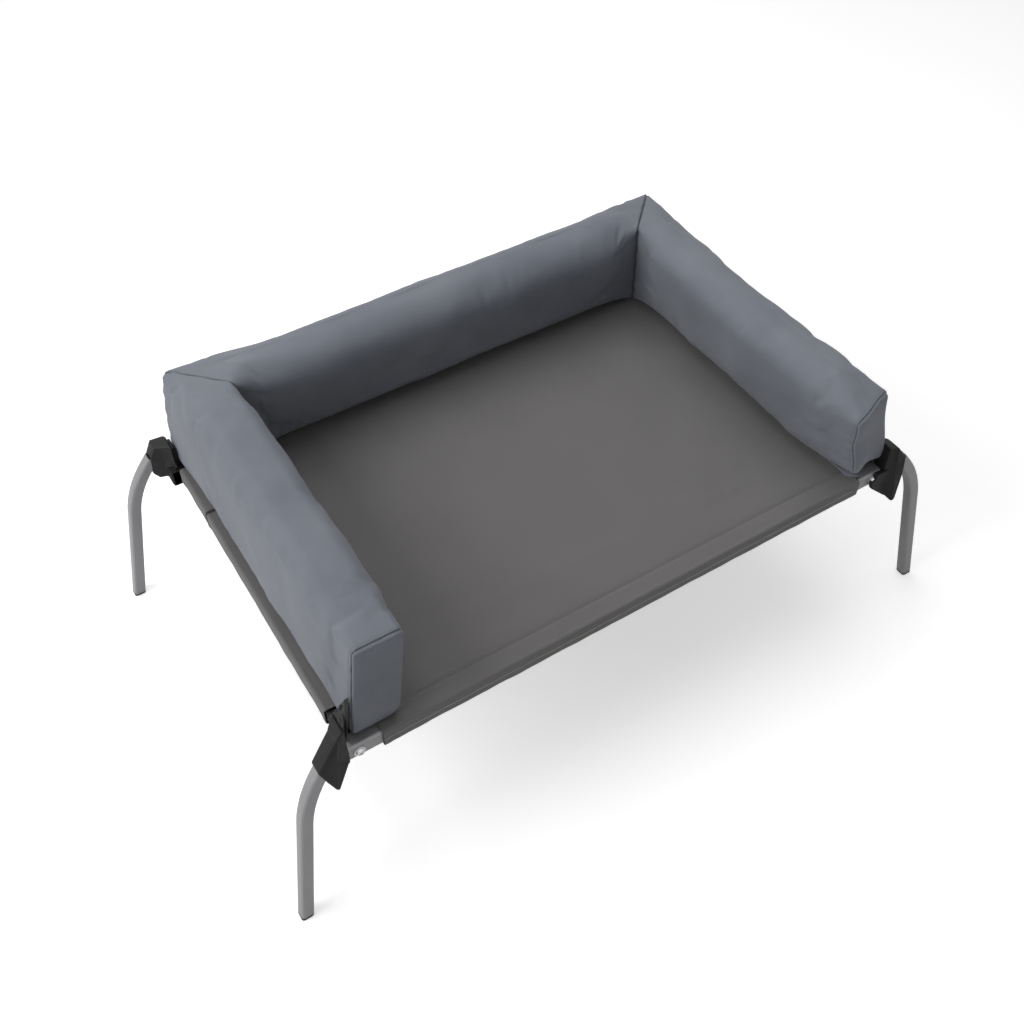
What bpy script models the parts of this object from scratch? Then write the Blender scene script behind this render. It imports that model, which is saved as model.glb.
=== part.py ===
"""Raised dog bed: a square tube frame on four bent legs, a sling mat and a three-sided bolster.

Metres, +Z up. X runs along the bed, Y from its open front (-Y) to its back (+Y).
The origin is on the floor under the middle of the bed.
"""
import math

import bmesh
import bpy
from mathutils import Matrix, Vector

# Frame
FRAME_LENGTH = 0.884
FRAME_DEPTH = 0.584
RAIL_UNDERSIDE = 0.261
RAIL_SIZE = 0.025
RAIL_WALL = 0.0015
RAIL_CORNER = 0.004
RAIL_OVERRUN = 0.0015

# Legs, placed by the middle of the socket's mouth from the frame's corner
MOUTH_REACH = 0.0390
MOUTH_OUT = 0.0055
MOUTH_RISE = 0.0253
LEG_SIZE = 0.018
LEG_WALL = 0.0015
LEG_CORNER = 0.004
LEG_SPLAY = math.radians(10.4)
LEG_TILT = math.radians(5.2)
LEG_BEND_RADIUS = 0.210
LEG_SOCKET_STEEPNESS = math.radians(53)
LEG_BEND_STEPS = 9
LEG_INSERTION = 0.044

# Foot plugs
FOOT_PAD = 0.0035
FOOT_PLUG_DEPTH = 0.016
FOOT_PLUG_TAPER = 0.0008

# Corner connectors
COLLAR_PROUD = 0.0018
COLLAR_LENGTH = 0.0145
HUB_DEPTH = 0.0055
ARM_LENGTH = 0.0345
RIB_GROOVE_HEIGHT = 0.0022
RIB_GROOVE_DEPTH = 0.0012
RIB_GROOVE_SPACING = 0.0062
RIB_GROOVE_INSET = 0.0030
SPIGOT_LONG = 0.052
SPIGOT_SIDE = 0.042
SPIGOT_CHAMFER = 0.0025
GROOVE_WIDTH = 0.0075
GROOVE_DEPTH = 0.0032
GROOVE_LENGTH = 0.024
BOOT_WALL = 0.0020
BOOT_HEEL = (-0.0115, -0.0325)
BOOT_MOUTH_LOW = (-0.0030, -0.0205)
BOOT_MOUTH_HIGH = (0.0015, 0.0180)
BOOT_TOP = (-0.0270, 0.0540)
BOOT_SHOULDER = (-0.0350, 0.0520)
BOOT_ROOT = (-0.0363, -0.0243)
BOOT_ROUNDING = 0.0040
SOCKET_LEAD = 0.030

# Bolts
BOLT_RADIUS = 0.0030
BOLT_HEAD_RADIUS = 0.0060
BOLT_HEAD_HEIGHT = 0.0034
BOLT_HEAD_DOME = ((0.0, 1.0), (0.3, 1.0), (0.72, 0.88), (1.0, 0.6))
BOLT_SHANK_LENGTH = 0.0175
BOLT_KEY_FLAT = 0.0040
BOLT_KEY_DEPTH = 0.0020
WASHER_RADIUS = 0.0082
WASHER_THICKNESS = 0.0012
NUT_FLAT = 0.0100
NUT_THICKNESS = 0.0040
NUT_INSET = 0.0105

# Sling mat
CLOTH = 0.0012
SLEEVE_CLEARANCE = 0.0004
SLEEVE_ROUNDING = 0.0035
LONG_SLEEVE_INSET = 0.0455
SIDE_SLEEVE_FRONT_INSET = 0.0640
SIDE_SLEEVE_REAR_INSET = 0.0320
NOTCH_ROUNDING = 0.010

# Bolsters
BOLSTER_WIDTH = 0.070
BOLSTER_HEIGHT = 0.163
BOLSTER_SIDE_INSET = 0.0095
BOLSTER_BACK_OVERHANG = 0.005
BOLSTER_LEAN = 0.019
BOLSTER_FRONT_INSET = 0.015
BOLSTER_COVER = 0.0012
BOLSTER_END_BULGE = 0.006
BOLSTER_END_SWELL = ((0.3, 1.0), (0.62, 0.82), (0.88, 0.4))
BOLSTER_SEAM_PULL = 0.055
BOLSTER_PULL_LENGTH = 0.035
BOLSTER_BOXY_END = 8.0
BOLSTER_ROUND_MIDDLE = 5.0
BOLSTER_RING_POINTS = 24
BOLSTER_RINGS = 13
CORE_CLEARANCE = 0.0005
COVER_SLIT_WIDTH = 0.002
SIDE_SLIT_LENGTH = 0.300
BACK_SLIT_LENGTH = 0.500

# Ties round the sleeves
TIE_WIDTH = 0.005
TIE_THICKNESS = 0.0006
TIE_CORNER = 0.0006
SIDE_TIE_Y = 0.158
BACK_TIE_X = 0.240

# Clearances
GAP = 0.0003
SLIDING_FIT = 0.0003
HOLE_CLEARANCE = 0.0004

# Mesh fineness
CORNER_STEPS = 3
ROUND_POINTS = 16

# Derived places
RAIL_HALF = RAIL_SIZE / 2
RAIL_Z = RAIL_UNDERSIDE + RAIL_HALF
SIDE_RAIL_X = FRAME_LENGTH / 2 - RAIL_HALF
LONG_RAIL_Y = FRAME_DEPTH / 2 - RAIL_HALF
LONG_RAIL_END = FRAME_LENGTH / 2 + RAIL_OVERRUN
CONNECTOR_X = LONG_RAIL_END + GAP
ARM_BACK_Y = LONG_RAIL_Y - RAIL_HALF - GAP
HUB_FRONT_Y = ARM_BACK_Y - HUB_DEPTH
ARM_FRONT_Y = HUB_FRONT_Y - ARM_LENGTH
INNER_FILLET = 2 * GAP
SIDE_RAIL_END = ARM_FRONT_Y - GAP
SPIGOT_SIZE = RAIL_SIZE - 2 * RAIL_WALL - 2 * SLIDING_FIT
BOOT_HALF = LEG_SIZE / 2 + SLIDING_FIT + BOOT_WALL
SLEEVE_INNER_HALF = RAIL_HALF + SLEEVE_CLEARANCE
SLEEVE_OUTER_HALF = SLEEVE_INNER_HALF + CLOTH
MAT_TOP = RAIL_Z + SLEEVE_OUTER_HALF
TIE_INNER_HALF = SLEEVE_OUTER_HALF + GAP
TIE_OUTER_HALF = TIE_INNER_HALF + TIE_THICKNESS
BOLSTER_BOTTOM = RAIL_Z + TIE_OUTER_HALF + GAP
SOCKET_LEAN = math.pi / 2 - LEG_SOCKET_STEEPNESS
MOUTH_X = CONNECTOR_X + MOUTH_REACH
MOUTH_Y = FRAME_DEPTH / 2 + MOUTH_OUT
MOUTH_Z = RAIL_UNDERSIDE + MOUTH_RISE
BEND_X = MOUTH_X + LEG_BEND_RADIUS * (math.cos(LEG_SPLAY) - math.cos(SOCKET_LEAN))
BEND_Z = MOUTH_Z - LEG_BEND_RADIUS * (math.sin(SOCKET_LEAN) - math.sin(LEG_SPLAY))
FOOT_X = BEND_X + BEND_Z * math.tan(LEG_SPLAY)
WASHER_INNER_Y = LONG_RAIL_Y + RAIL_HALF + GAP
BOLT_HEAD_Y = WASHER_INNER_Y + WASHER_THICKNESS + GAP
BOLT_TIP_Y = BOLT_HEAD_Y - BOLT_SHANK_LENGTH
CORNERS = {
    "front_left": (-1, -1),
    "front_right": (1, -1),
    "rear_left": (-1, 1),
    "rear_right": (1, 1),
}


# Scene and materials


def clear_scene():
    """Remove every object of the scene."""
    for obj in list(bpy.data.objects):
        bpy.data.objects.remove(obj, do_unlink=True)


def make_material(name, colour, roughness, metallic=0.0):
    """Principled material of one colour."""
    mat = bpy.data.materials.new(name)
    mat.use_nodes = True
    shader = mat.node_tree.nodes["Principled BSDF"]
    shader.inputs["Base Color"].default_value = (*colour, 1.0)
    shader.inputs["Roughness"].default_value = roughness
    shader.inputs["Metallic"].default_value = metallic
    return mat


# Mesh helpers


def object_from_bmesh(name, bm, mat=None):
    """Object whose faces all point outwards, made from a bmesh that is then freed."""
    bmesh.ops.recalc_face_normals(bm, faces=bm.faces)
    if bm.calc_volume(signed=True) < 0:
        bmesh.ops.reverse_faces(bm, faces=bm.faces)
    mesh = bpy.data.meshes.new(name)
    bm.to_mesh(mesh)
    bm.free()
    obj = bpy.data.objects.new(name, mesh)
    bpy.context.collection.objects.link(obj)
    if mat is not None:
        mesh.materials.append(mat)
    return obj


def rounded_rectangle(width, height, radius, steps=CORNER_STEPS):
    """Outline of a rectangle round the origin, with each corner an arc."""
    points = []
    centres = [(1, 1), (-1, 1), (-1, -1), (1, -1)]
    for turn, (across, up) in enumerate(centres):
        cx = across * (width / 2 - radius)
        cy = up * (height / 2 - radius)
        for step in range(steps + 1):
            angle = math.pi / 2 * (turn + step / steps)
            points.append((cx + radius * math.cos(angle), cy + radius * math.sin(angle)))
    return points


def circle(radius, count=ROUND_POINTS):
    """Regular polygon round the origin."""
    turn = 2 * math.pi / count
    return [(radius * math.cos(turn * i), radius * math.sin(turn * i)) for i in range(count)]


def add_ring(bm, points):
    """Vertices of one closed ring."""
    return [bm.verts.new(point) for point in points]


def bridge(bm, ring_a, ring_b):
    """Quads between two rings of equal count."""
    count = len(ring_a)
    for i in range(count):
        j = (i + 1) % count
        bm.faces.new((ring_a[i], ring_a[j], ring_b[j], ring_b[i]))


def loft_solid(name, rings, mat=None):
    """Closed solid through rings of points, with a flat face at each end."""
    bm = bmesh.new()
    made = [add_ring(bm, ring) for ring in rings]
    for ring_a, ring_b in zip(made, made[1:]):
        bridge(bm, ring_a, ring_b)
    bm.faces.new(made[0])
    bm.faces.new(made[-1])
    return object_from_bmesh(name, bm, mat)


def loft_tube(name, outer_rings, inner_rings, mat=None):
    """Open-ended tube between matching outer and inner rings."""
    bm = bmesh.new()
    outer = [add_ring(bm, ring) for ring in outer_rings]
    inner = [add_ring(bm, ring) for ring in inner_rings]
    for rings in (outer, inner):
        for ring_a, ring_b in zip(rings, rings[1:]):
            bridge(bm, ring_a, ring_b)
    bridge(bm, outer[0], inner[0])
    bridge(bm, outer[-1], inner[-1])
    return object_from_bmesh(name, bm, mat)


def box(name, low, high, mat=None):
    """Box between two corners."""
    bm = bmesh.new()
    bmesh.ops.create_cube(bm, size=1.0)
    size = Vector(high) - Vector(low)
    middle = (Vector(high) + Vector(low)) / 2
    bmesh.ops.scale(bm, vec=size, verts=bm.verts)
    bmesh.ops.translate(bm, vec=middle, verts=bm.verts)
    return object_from_bmesh(name, bm, mat)


def shrunk(corners, inset):
    """Polygon, listed anticlockwise, whose sides have moved inwards."""
    points = []
    count = len(corners)
    for i in range(count):
        corner = Vector(corners[i])
        into = (corner - Vector(corners[i - 1])).normalized()
        onward = (Vector(corners[(i + 1) % count]) - corner).normalized()
        normals = Vector((-into.y, into.x)), Vector((-onward.y, onward.x))
        moved = corner + (normals[0] + normals[1]) / (1 + normals[0].dot(normals[1])) * inset
        points.append((moved.x, moved.y))
    return points


def filleted(corners, radii, steps=CORNER_STEPS):
    """Polygon with each corner replaced by a curve that starts a radius away from it."""
    points = []
    count = len(corners)
    for i in range(count):
        corner = Vector(corners[i])
        before = (Vector(corners[i - 1]) - corner).normalized() * radii[i]
        after = (Vector(corners[(i + 1) % count]) - corner).normalized() * radii[i]
        for step in range(steps + 1):
            t = step / steps
            point = corner + before * (1 - t) ** 2 + after * t ** 2
            points.append((point.x, point.y))
    return points


def rounded_prism(name, corners, radii, low, high, rounding, place, mat=None):
    """Prism between two levels with filleted corners and a rounded rim at each end.

    The corners are (u, v) pairs with a fillet radius for each, and place turns u, v
    and a level into a point.
    """
    levels = []
    for step in range(CORNER_STEPS):
        angle = math.pi / 2 * step / (CORNER_STEPS - 1)
        levels.append((rounding * (1 - math.cos(angle)), rounding * (1 - math.sin(angle))))
    stations = [(low + rise, inset) for rise, inset in levels]
    stations += [(high - rise, inset) for rise, inset in reversed(levels)]
    rings = []
    for level, inset in stations:
        outline = filleted(shrunk(corners, inset), radii)
        rings.append([place(u, v, level) for u, v in outline])
    return loft_solid(name, rings, mat)


def upright(u, v, level):
    """Place of a plan's point (X, Y) at a height."""
    return u, v, level


def along_x(points, x, y, z):
    """Section points (across Y, up Z) placed at x."""
    return [(x, y + u, z + v) for u, v in points]


def along_y(points, x, y, z):
    """Section points (across X, up Z) placed at y."""
    return [(x + u, y, z + v) for u, v in points]


def along_z(points, x, y, z):
    """Section points (across X, across Y) placed at z."""
    return [(x + u, y + v, z) for u, v in points]


def baked(obj):
    """Give an object its evaluated mesh and drop its modifiers."""
    graph = bpy.context.evaluated_depsgraph_get()
    mesh = bpy.data.meshes.new_from_object(obj.evaluated_get(graph))
    obj.modifiers.clear()
    obj.data = mesh
    return obj


def combine(obj, other, operation):
    """Boolean of two solids, which uses up the second one."""
    modifier = obj.modifiers.new(operation.lower(), "BOOLEAN")
    modifier.operation = operation
    modifier.solver = "EXACT"
    modifier.object = other
    baked(obj)
    bpy.data.objects.remove(other, do_unlink=True)
    return obj


def join(obj, *others):
    """Union of solids."""
    for other in others:
        combine(obj, other, "UNION")
    return obj


def cut(obj, *cutters):
    """Difference of solids."""
    for cutter in cutters:
        combine(obj, cutter, "DIFFERENCE")
    return obj


def shade(obj):
    """Smooth shading that keeps edges over 35 degrees sharp."""
    obj.data.shade_smooth()
    obj.data.set_sharp_from_angle(angle=math.radians(35))
    return obj


def mirrored(pattern, name, side, face, mat):
    """Copy of a piece made for the +X +Y corner, turned over into another corner."""
    bm = bmesh.new()
    bm.from_mesh(pattern.data)
    bm.transform(Matrix.Diagonal((side, face, 1, 1)))
    copy = object_from_bmesh(name, bm)
    copy.data.materials.clear()
    copy.data.materials.append(mat)
    return shade(copy)


def in_each_corner(pattern, prefix, mat):
    """The four copies of a corner piece, in place of its pattern."""
    copies = []
    for corner, (side, face) in CORNERS.items():
        copies.append(mirrored(pattern, f"{prefix}_{corner}", side, face, mat))
    bpy.data.objects.remove(pattern, do_unlink=True)
    return copies


# Rails


def rail_sections():
    """Outer and inner outline of the rail tube."""
    inner_size = RAIL_SIZE - 2 * RAIL_WALL
    outer = rounded_rectangle(RAIL_SIZE, RAIL_SIZE, RAIL_CORNER)
    inner = rounded_rectangle(inner_size, inner_size, RAIL_CORNER - RAIL_WALL)
    return outer, inner


def bolt_hole(side, face):
    """Cutter along Y through the outer wall of a long rail at a side rail's line."""
    x = side * SIDE_RAIL_X
    start = face * (LONG_RAIL_Y + RAIL_SIZE)
    end = face * (BOLT_TIP_Y - HOLE_CLEARANCE)
    section = circle(BOLT_RADIUS + HOLE_CLEARANCE)
    rings = [along_y(section, x, start, RAIL_Z), along_y(section, x, end, RAIL_Z)]
    return loft_solid("bolt_hole", rings)


def make_long_rail(name, face, mat):
    """Front or back rail, drilled for a bolt near each end."""
    outer, inner = rail_sections()
    ends = (-LONG_RAIL_END, LONG_RAIL_END)
    y = face * LONG_RAIL_Y
    outer_rings = [along_x(outer, x, y, RAIL_Z) for x in ends]
    inner_rings = [along_x(inner, x, y, RAIL_Z) for x in ends]
    rail = loft_tube(name, outer_rings, inner_rings, mat)
    cut(rail, bolt_hole(-1, face), bolt_hole(1, face))
    return shade(rail)


def make_side_rail(name, side, mat):
    """Left or right rail, between the arms of two connectors."""
    outer, inner = rail_sections()
    ends = (-SIDE_RAIL_END, SIDE_RAIL_END)
    x = side * SIDE_RAIL_X
    outer_rings = [along_y(outer, x, y, RAIL_Z) for y in ends]
    inner_rings = [along_y(inner, x, y, RAIL_Z) for y in ends]
    return shade(loft_tube(name, outer_rings, inner_rings, mat))


# Legs, drawn in the XZ plane and then leaned outwards in Y


def leaned(points):
    """Points of the leg's plane, moved in Y by their height."""
    return [(x, y + MOUTH_Y + math.tan(LEG_TILT) * (MOUTH_Z - z), z) for x, y, z in points]


def bend_point(lean):
    """Centre of the leg where its axis stands this far from the vertical."""
    x = BEND_X - LEG_BEND_RADIUS * (math.cos(LEG_SPLAY) - math.cos(lean))
    z = BEND_Z + LEG_BEND_RADIUS * (math.sin(lean) - math.sin(LEG_SPLAY))
    return x, z


def socket_point(distance):
    """Point on the axis of the leg's straight upper end, this far up from the mouth."""
    x = MOUTH_X - math.sin(SOCKET_LEAN) * distance
    z = MOUTH_Z + math.cos(SOCKET_LEAN) * distance
    return x, z


def leg_ring(section, x, z, lean):
    """Ring of section points square to an axis that leans this far from the vertical."""
    ring = []
    for u, v in section:
        ring.append((x + u * math.cos(lean), v, z + u * math.sin(lean)))
    return leaned(ring)


def leg_rings(section, foot_height):
    """Rings from a level cut above the foot, round the bend, to the upper end."""
    foot_x = FOOT_X - foot_height * math.tan(LEG_SPLAY)
    stretch = 1 / math.cos(LEG_SPLAY)
    level = [(foot_x + u * stretch, v, foot_height) for u, v in section]
    rings = [leaned(level)]
    for step in range(LEG_BEND_STEPS + 1):
        lean = LEG_SPLAY + (SOCKET_LEAN - LEG_SPLAY) * step / LEG_BEND_STEPS
        x, z = bend_point(lean)
        rings.append(leg_ring(section, x, z, lean))
    x, z = socket_point(LEG_INSERTION)
    rings.append(leg_ring(section, x, z, SOCKET_LEAN))
    return rings


def make_legs(mat):
    """Four bent square tubes."""
    inner_size = LEG_SIZE - 2 * LEG_WALL
    outer = rounded_rectangle(LEG_SIZE, LEG_SIZE, LEG_CORNER)
    inner = rounded_rectangle(inner_size, inner_size, LEG_CORNER - LEG_WALL)
    bottom = FOOT_PAD + GAP
    pattern = loft_tube("leg_pattern", leg_rings(outer, bottom), leg_rings(inner, bottom))
    return in_each_corner(pattern, "leg", mat)


def make_feet(mat):
    """Plugs in the legs' lower ends, each with a flat pad on the floor."""
    stretch = 1 / math.cos(LEG_SPLAY)
    bore = LEG_SIZE - 2 * LEG_WALL - 2 * SLIDING_FIT
    bore_corner = LEG_CORNER - LEG_WALL - SLIDING_FIT
    pad = rounded_rectangle(LEG_SIZE, LEG_SIZE, LEG_CORNER)
    plug = rounded_rectangle(bore, bore, bore_corner)
    tip_size = bore - 2 * FOOT_PLUG_TAPER
    tip = rounded_rectangle(tip_size, tip_size, bore_corner)
    rings = []
    top = FOOT_PAD + FOOT_PLUG_DEPTH
    for section, height in ((pad, 0.0), (pad, FOOT_PAD), (plug, FOOT_PAD), (tip, top)):
        x = FOOT_X - height * math.tan(LEG_SPLAY)
        rings.append(leaned([(x + u * stretch, v, height) for u, v in section]))
    pattern = loft_solid("foot_pattern", rings)
    return in_each_corner(pattern, "foot_plug", mat)


# Corner connectors, made for the +X +Y corner


def leaned_across(x, z, y):
    """Place of a side view's point, moved out along Y from the leg's middle plane."""
    return leaned([(x, y, z)])[0]


def make_boot():
    """Boot that holds the leg: its side view (X, Z) made solid across Y."""
    mouth = (BOOT_HEEL, BOOT_MOUTH_LOW, BOOT_MOUTH_HIGH)
    outline = (*mouth, BOOT_TOP, BOOT_SHOULDER, BOOT_ROOT)
    corners = [(MOUTH_X + out, MOUTH_Z + up) for out, up in outline]
    radii = [BOOT_ROUNDING] * len(corners)
    return rounded_prism(
        "boot", corners, radii, -BOOT_HALF, BOOT_HALF, BOOT_ROUNDING, leaned_across
    )


def make_socket():
    """Cutter for the leg's socket."""
    size = LEG_SIZE + 2 * SLIDING_FIT
    section = rounded_rectangle(size, size, LEG_CORNER + SLIDING_FIT)
    rings = []
    for distance in (-SOCKET_LEAD, LEG_INSERTION + GAP):
        x, z = socket_point(distance)
        rings.append(leg_ring(section, x, z, SOCKET_LEAN))
    return loft_solid("socket", rings)


def make_arm():
    """Arm between the hub and the side rail, flush with the rail so the sleeve passes."""
    section = rounded_rectangle(RAIL_SIZE, RAIL_SIZE, RAIL_CORNER)
    ends = (ARM_FRONT_Y, HUB_FRONT_Y + HUB_DEPTH / 2)
    return loft_solid("arm", [along_y(section, SIDE_RAIL_X, y, RAIL_Z) for y in ends])


def rib_grooves():
    """Cutters for the shallow level grooves beside the boot on the hub's outer face."""
    outer_x = CONNECTOR_X + COLLAR_LENGTH
    low_y = HUB_FRONT_Y + RIB_GROOVE_INSET
    half = RIB_GROOVE_HEIGHT / 2
    cutters = []
    for row in (-1, 0, 1):
        z = RAIL_Z + row * RIB_GROOVE_SPACING
        low = (outer_x - RIB_GROOVE_DEPTH, low_y, z - half)
        high = (outer_x + RAIL_SIZE, FRAME_DEPTH / 2 - BOOT_HALF, z + half)
        cutters.append(box("rib_groove", low, high))
    return cutters


def make_spigot(direction, length):
    """Square spigot with tapered tip, along -X or -Y from the hub."""
    full = rounded_rectangle(SPIGOT_SIZE, SPIGOT_SIZE, RAIL_CORNER - RAIL_WALL)
    tip_size = SPIGOT_SIZE - 2 * SPIGOT_CHAMFER
    tip = rounded_rectangle(tip_size, tip_size, RAIL_CORNER - RAIL_WALL)
    stations = ((COLLAR_LENGTH / 2, full), (SPIGOT_CHAMFER - length, full), (-length, tip))
    rings = []
    for offset, section in stations:
        if direction == "X":
            rings.append(along_x(section, CONNECTOR_X + offset, LONG_RAIL_Y, RAIL_Z))
        else:
            rings.append(along_y(section, SIDE_RAIL_X, ARM_FRONT_Y + offset, RAIL_Z))
    return loft_solid("spigot", rings)


def spigot_grooves(direction, length):
    """Cutters for the grooves that leave the spigot's four corner ribs."""
    cutters = []
    reach = SPIGOT_SIZE / 2
    floor = reach - GROOVE_DEPTH
    half = GROOVE_WIDTH / 2
    for sign in (-1, 1):
        near, far = sorted((sign * floor, sign * (reach + GROOVE_DEPTH)))
        for low, high in (((-half, near), (half, far)), ((near, -half), (far, half))):
            if direction == "X":
                start = CONNECTOR_X - length - GROOVE_DEPTH
                lower = (start, LONG_RAIL_Y + low[0], RAIL_Z + low[1])
                upper = (start + GROOVE_LENGTH, LONG_RAIL_Y + high[0], RAIL_Z + high[1])
            else:
                start = ARM_FRONT_Y - length - GROOVE_DEPTH
                lower = (SIDE_RAIL_X + low[0], start, RAIL_Z + low[1])
                upper = (SIDE_RAIL_X + high[0], start + GROOVE_LENGTH, RAIL_Z + high[1])
            cutters.append(box("groove", lower, upper))
    return cutters


def nut_place():
    """Y of the captive nut's outer face."""
    return LONG_RAIL_Y + RAIL_HALF - NUT_INSET


def make_nut_pocket():
    """Cutter for the slot that the nut drops into from below."""
    half = NUT_FLAT / 2 + SLIDING_FIT
    outer = nut_place() + SLIDING_FIT
    inner = nut_place() - NUT_THICKNESS - SLIDING_FIT
    low = (SIDE_RAIL_X - half, inner, RAIL_Z - RAIL_SIZE)
    high = (SIDE_RAIL_X + half, outer, RAIL_Z + half)
    return box("pocket", low, high)


def make_hub():
    """L-shaped hub, whose inner corner holds the long rail's end."""
    outer_x = CONNECTOR_X + COLLAR_LENGTH
    outer_y = FRAME_DEPTH / 2 + COLLAR_PROUD
    arm_x = FRAME_LENGTH / 2 - RAIL_SIZE - COLLAR_PROUD
    corners = [
        (CONNECTOR_X, ARM_BACK_Y),
        (arm_x, ARM_BACK_Y),
        (arm_x, HUB_FRONT_Y),
        (outer_x, HUB_FRONT_Y),
        (outer_x, outer_y),
        (CONNECTOR_X, outer_y),
    ]
    rounding = COLLAR_PROUD
    radii = [INNER_FILLET] + [rounding] * (len(corners) - 1)
    bottom = RAIL_UNDERSIDE - COLLAR_PROUD
    top = RAIL_UNDERSIDE + RAIL_SIZE + COLLAR_PROUD
    return rounded_prism("hub", corners, radii, bottom, top, rounding, upright)


def make_connectors(mat):
    """Moulded corner: L-shaped hub, two ribbed spigots and the boot with the leg's socket."""
    hub = cut(make_hub(), *rib_grooves())
    join(hub, make_arm(), make_spigot("X", SPIGOT_LONG), make_spigot("Y", SPIGOT_SIDE))
    cut(hub, *spigot_grooves("X", SPIGOT_LONG), *spigot_grooves("Y", SPIGOT_SIDE))
    cut(hub, bolt_hole(1, 1), make_nut_pocket())
    cut(join(hub, make_boot()), make_socket())
    return in_each_corner(hub, "corner_connector", mat)


# Bolts, washers and captive nuts, made for the +X +Y corner


def make_bolts(mat):
    """Button-head bolts with a hexagon socket."""
    head_top = BOLT_HEAD_Y + BOLT_HEAD_HEIGHT
    profile = [(BOLT_RADIUS, BOLT_TIP_Y), (BOLT_RADIUS, BOLT_HEAD_Y)]
    for height, share in BOLT_HEAD_DOME:
        profile.append((BOLT_HEAD_RADIUS * share, BOLT_HEAD_Y + BOLT_HEAD_HEIGHT * height))
    rings = [along_y(circle(radius), SIDE_RAIL_X, y, RAIL_Z) for radius, y in profile]
    pattern = loft_solid("bolt_pattern", rings)
    key = circle(BOLT_KEY_FLAT / math.sqrt(3), 6)
    deep = along_y(key, SIDE_RAIL_X, head_top - BOLT_KEY_DEPTH, RAIL_Z)
    clear = along_y(key, SIDE_RAIL_X, head_top + BOLT_KEY_DEPTH, RAIL_Z)
    cut(pattern, loft_solid("key", [deep, clear]))
    return in_each_corner(pattern, "bolt", mat)


def make_washers(mat):
    """Flat washers under the bolt heads."""
    stations = (WASHER_INNER_Y, WASHER_INNER_Y + WASHER_THICKNESS)
    outer = [along_y(circle(WASHER_RADIUS), SIDE_RAIL_X, y, RAIL_Z) for y in stations]
    hole = circle(BOLT_RADIUS + HOLE_CLEARANCE)
    inner = [along_y(hole, SIDE_RAIL_X, y, RAIL_Z) for y in stations]
    pattern = loft_tube("washer_pattern", outer, inner)
    return in_each_corner(pattern, "washer", mat)


def make_nuts(mat):
    """Square nuts held in the connectors' long spigots."""
    half = NUT_FLAT / 2
    low = (SIDE_RAIL_X - half, nut_place() - NUT_THICKNESS, RAIL_Z - half)
    high = (SIDE_RAIL_X + half, nut_place(), RAIL_Z + half)
    pattern = box("nut_pattern", low, high)
    section = circle(BOLT_RADIUS + SLIDING_FIT)
    rings = []
    for y in (low[1] - NUT_THICKNESS, high[1] + NUT_THICKNESS):
        rings.append(along_y(section, SIDE_RAIL_X, y, RAIL_Z))
    cut(pattern, loft_solid("bore", rings))
    return in_each_corner(pattern, "nut", mat)


# Sling mat


def mat_corners():
    """Plan of the mat, a cross whose notches clear the connectors, listed anticlockwise."""
    half_x = SIDE_RAIL_X + SLEEVE_OUTER_HALF
    half_y = LONG_RAIL_Y + SLEEVE_OUTER_HALF
    reach = FRAME_LENGTH / 2 - LONG_SLEEVE_INSET
    front = FRAME_DEPTH / 2 - SIDE_SLEEVE_FRONT_INSET
    rear = FRAME_DEPTH / 2 - SIDE_SLEEVE_REAR_INSET
    quarters = []
    for side, end, notch_y in ((1, 1, rear), (-1, -1, front)):
        near = [
            (side * half_x, end * notch_y),
            (side * reach, end * notch_y),
            (side * reach, end * half_y),
        ]
        far = [(-x, y) for x, y in reversed(near)]
        quarters += near + far
    return quarters


def rail_channel(direction, sign):
    """Cutter for the sleeve round one rail."""
    size = 2 * SLEEVE_INNER_HALF
    section = rounded_rectangle(size, size, RAIL_CORNER)
    rings = []
    for end in (-FRAME_LENGTH, FRAME_LENGTH):
        if direction == "X":
            rings.append(along_x(section, end, sign * LONG_RAIL_Y, RAIL_Z))
        else:
            rings.append(along_y(section, sign * SIDE_RAIL_X, end, RAIL_Z))
    return loft_solid("channel", rings)


def tie_slots():
    """Cutters for the slits beside the sleeves that the ties pass through."""
    near = SLEEVE_OUTER_HALF
    far = TIE_OUTER_HALF + GAP
    half = TIE_WIDTH / 2 + GAP
    low_z = MAT_TOP - 2 * CLOTH
    high_z = MAT_TOP + CLOTH
    cutters = []
    for sign in (-1, 1):
        low_x, high_x = sorted((sign * (SIDE_RAIL_X - far), sign * (SIDE_RAIL_X - near)))
        low_y, high_y = SIDE_TIE_Y - half, SIDE_TIE_Y + half
        cutters.append(box("slot", (low_x, low_y, low_z), (high_x, high_y, high_z)))
        low_x, high_x = sign * BACK_TIE_X - half, sign * BACK_TIE_X + half
        low_y, high_y = LONG_RAIL_Y - far, LONG_RAIL_Y - near
        cutters.append(box("slot", (low_x, low_y, low_z), (high_x, high_y, high_z)))
    return cutters


def make_sling_mat(mat):
    """Taut cloth whose four edge sleeves wrap the rails."""
    half_x = SIDE_RAIL_X - SLEEVE_OUTER_HALF
    half_y = LONG_RAIL_Y - SLEEVE_OUTER_HALF
    bottom = RAIL_Z - SLEEVE_OUTER_HALF
    corners = mat_corners()
    radii = [NOTCH_ROUNDING] * len(corners)
    cloth = rounded_prism(
        "sling_mat", corners, radii, bottom, MAT_TOP, SLEEVE_ROUNDING, upright, mat
    )
    cut(cloth, box("hollow", (-half_x, -half_y, 0), (half_x, half_y, MAT_TOP - CLOTH)))
    for sign in (-1, 1):
        cut(cloth, rail_channel("X", sign), rail_channel("Y", sign))
    cut(cloth, *tie_slots())
    return shade(cloth)


# Bolsters


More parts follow.
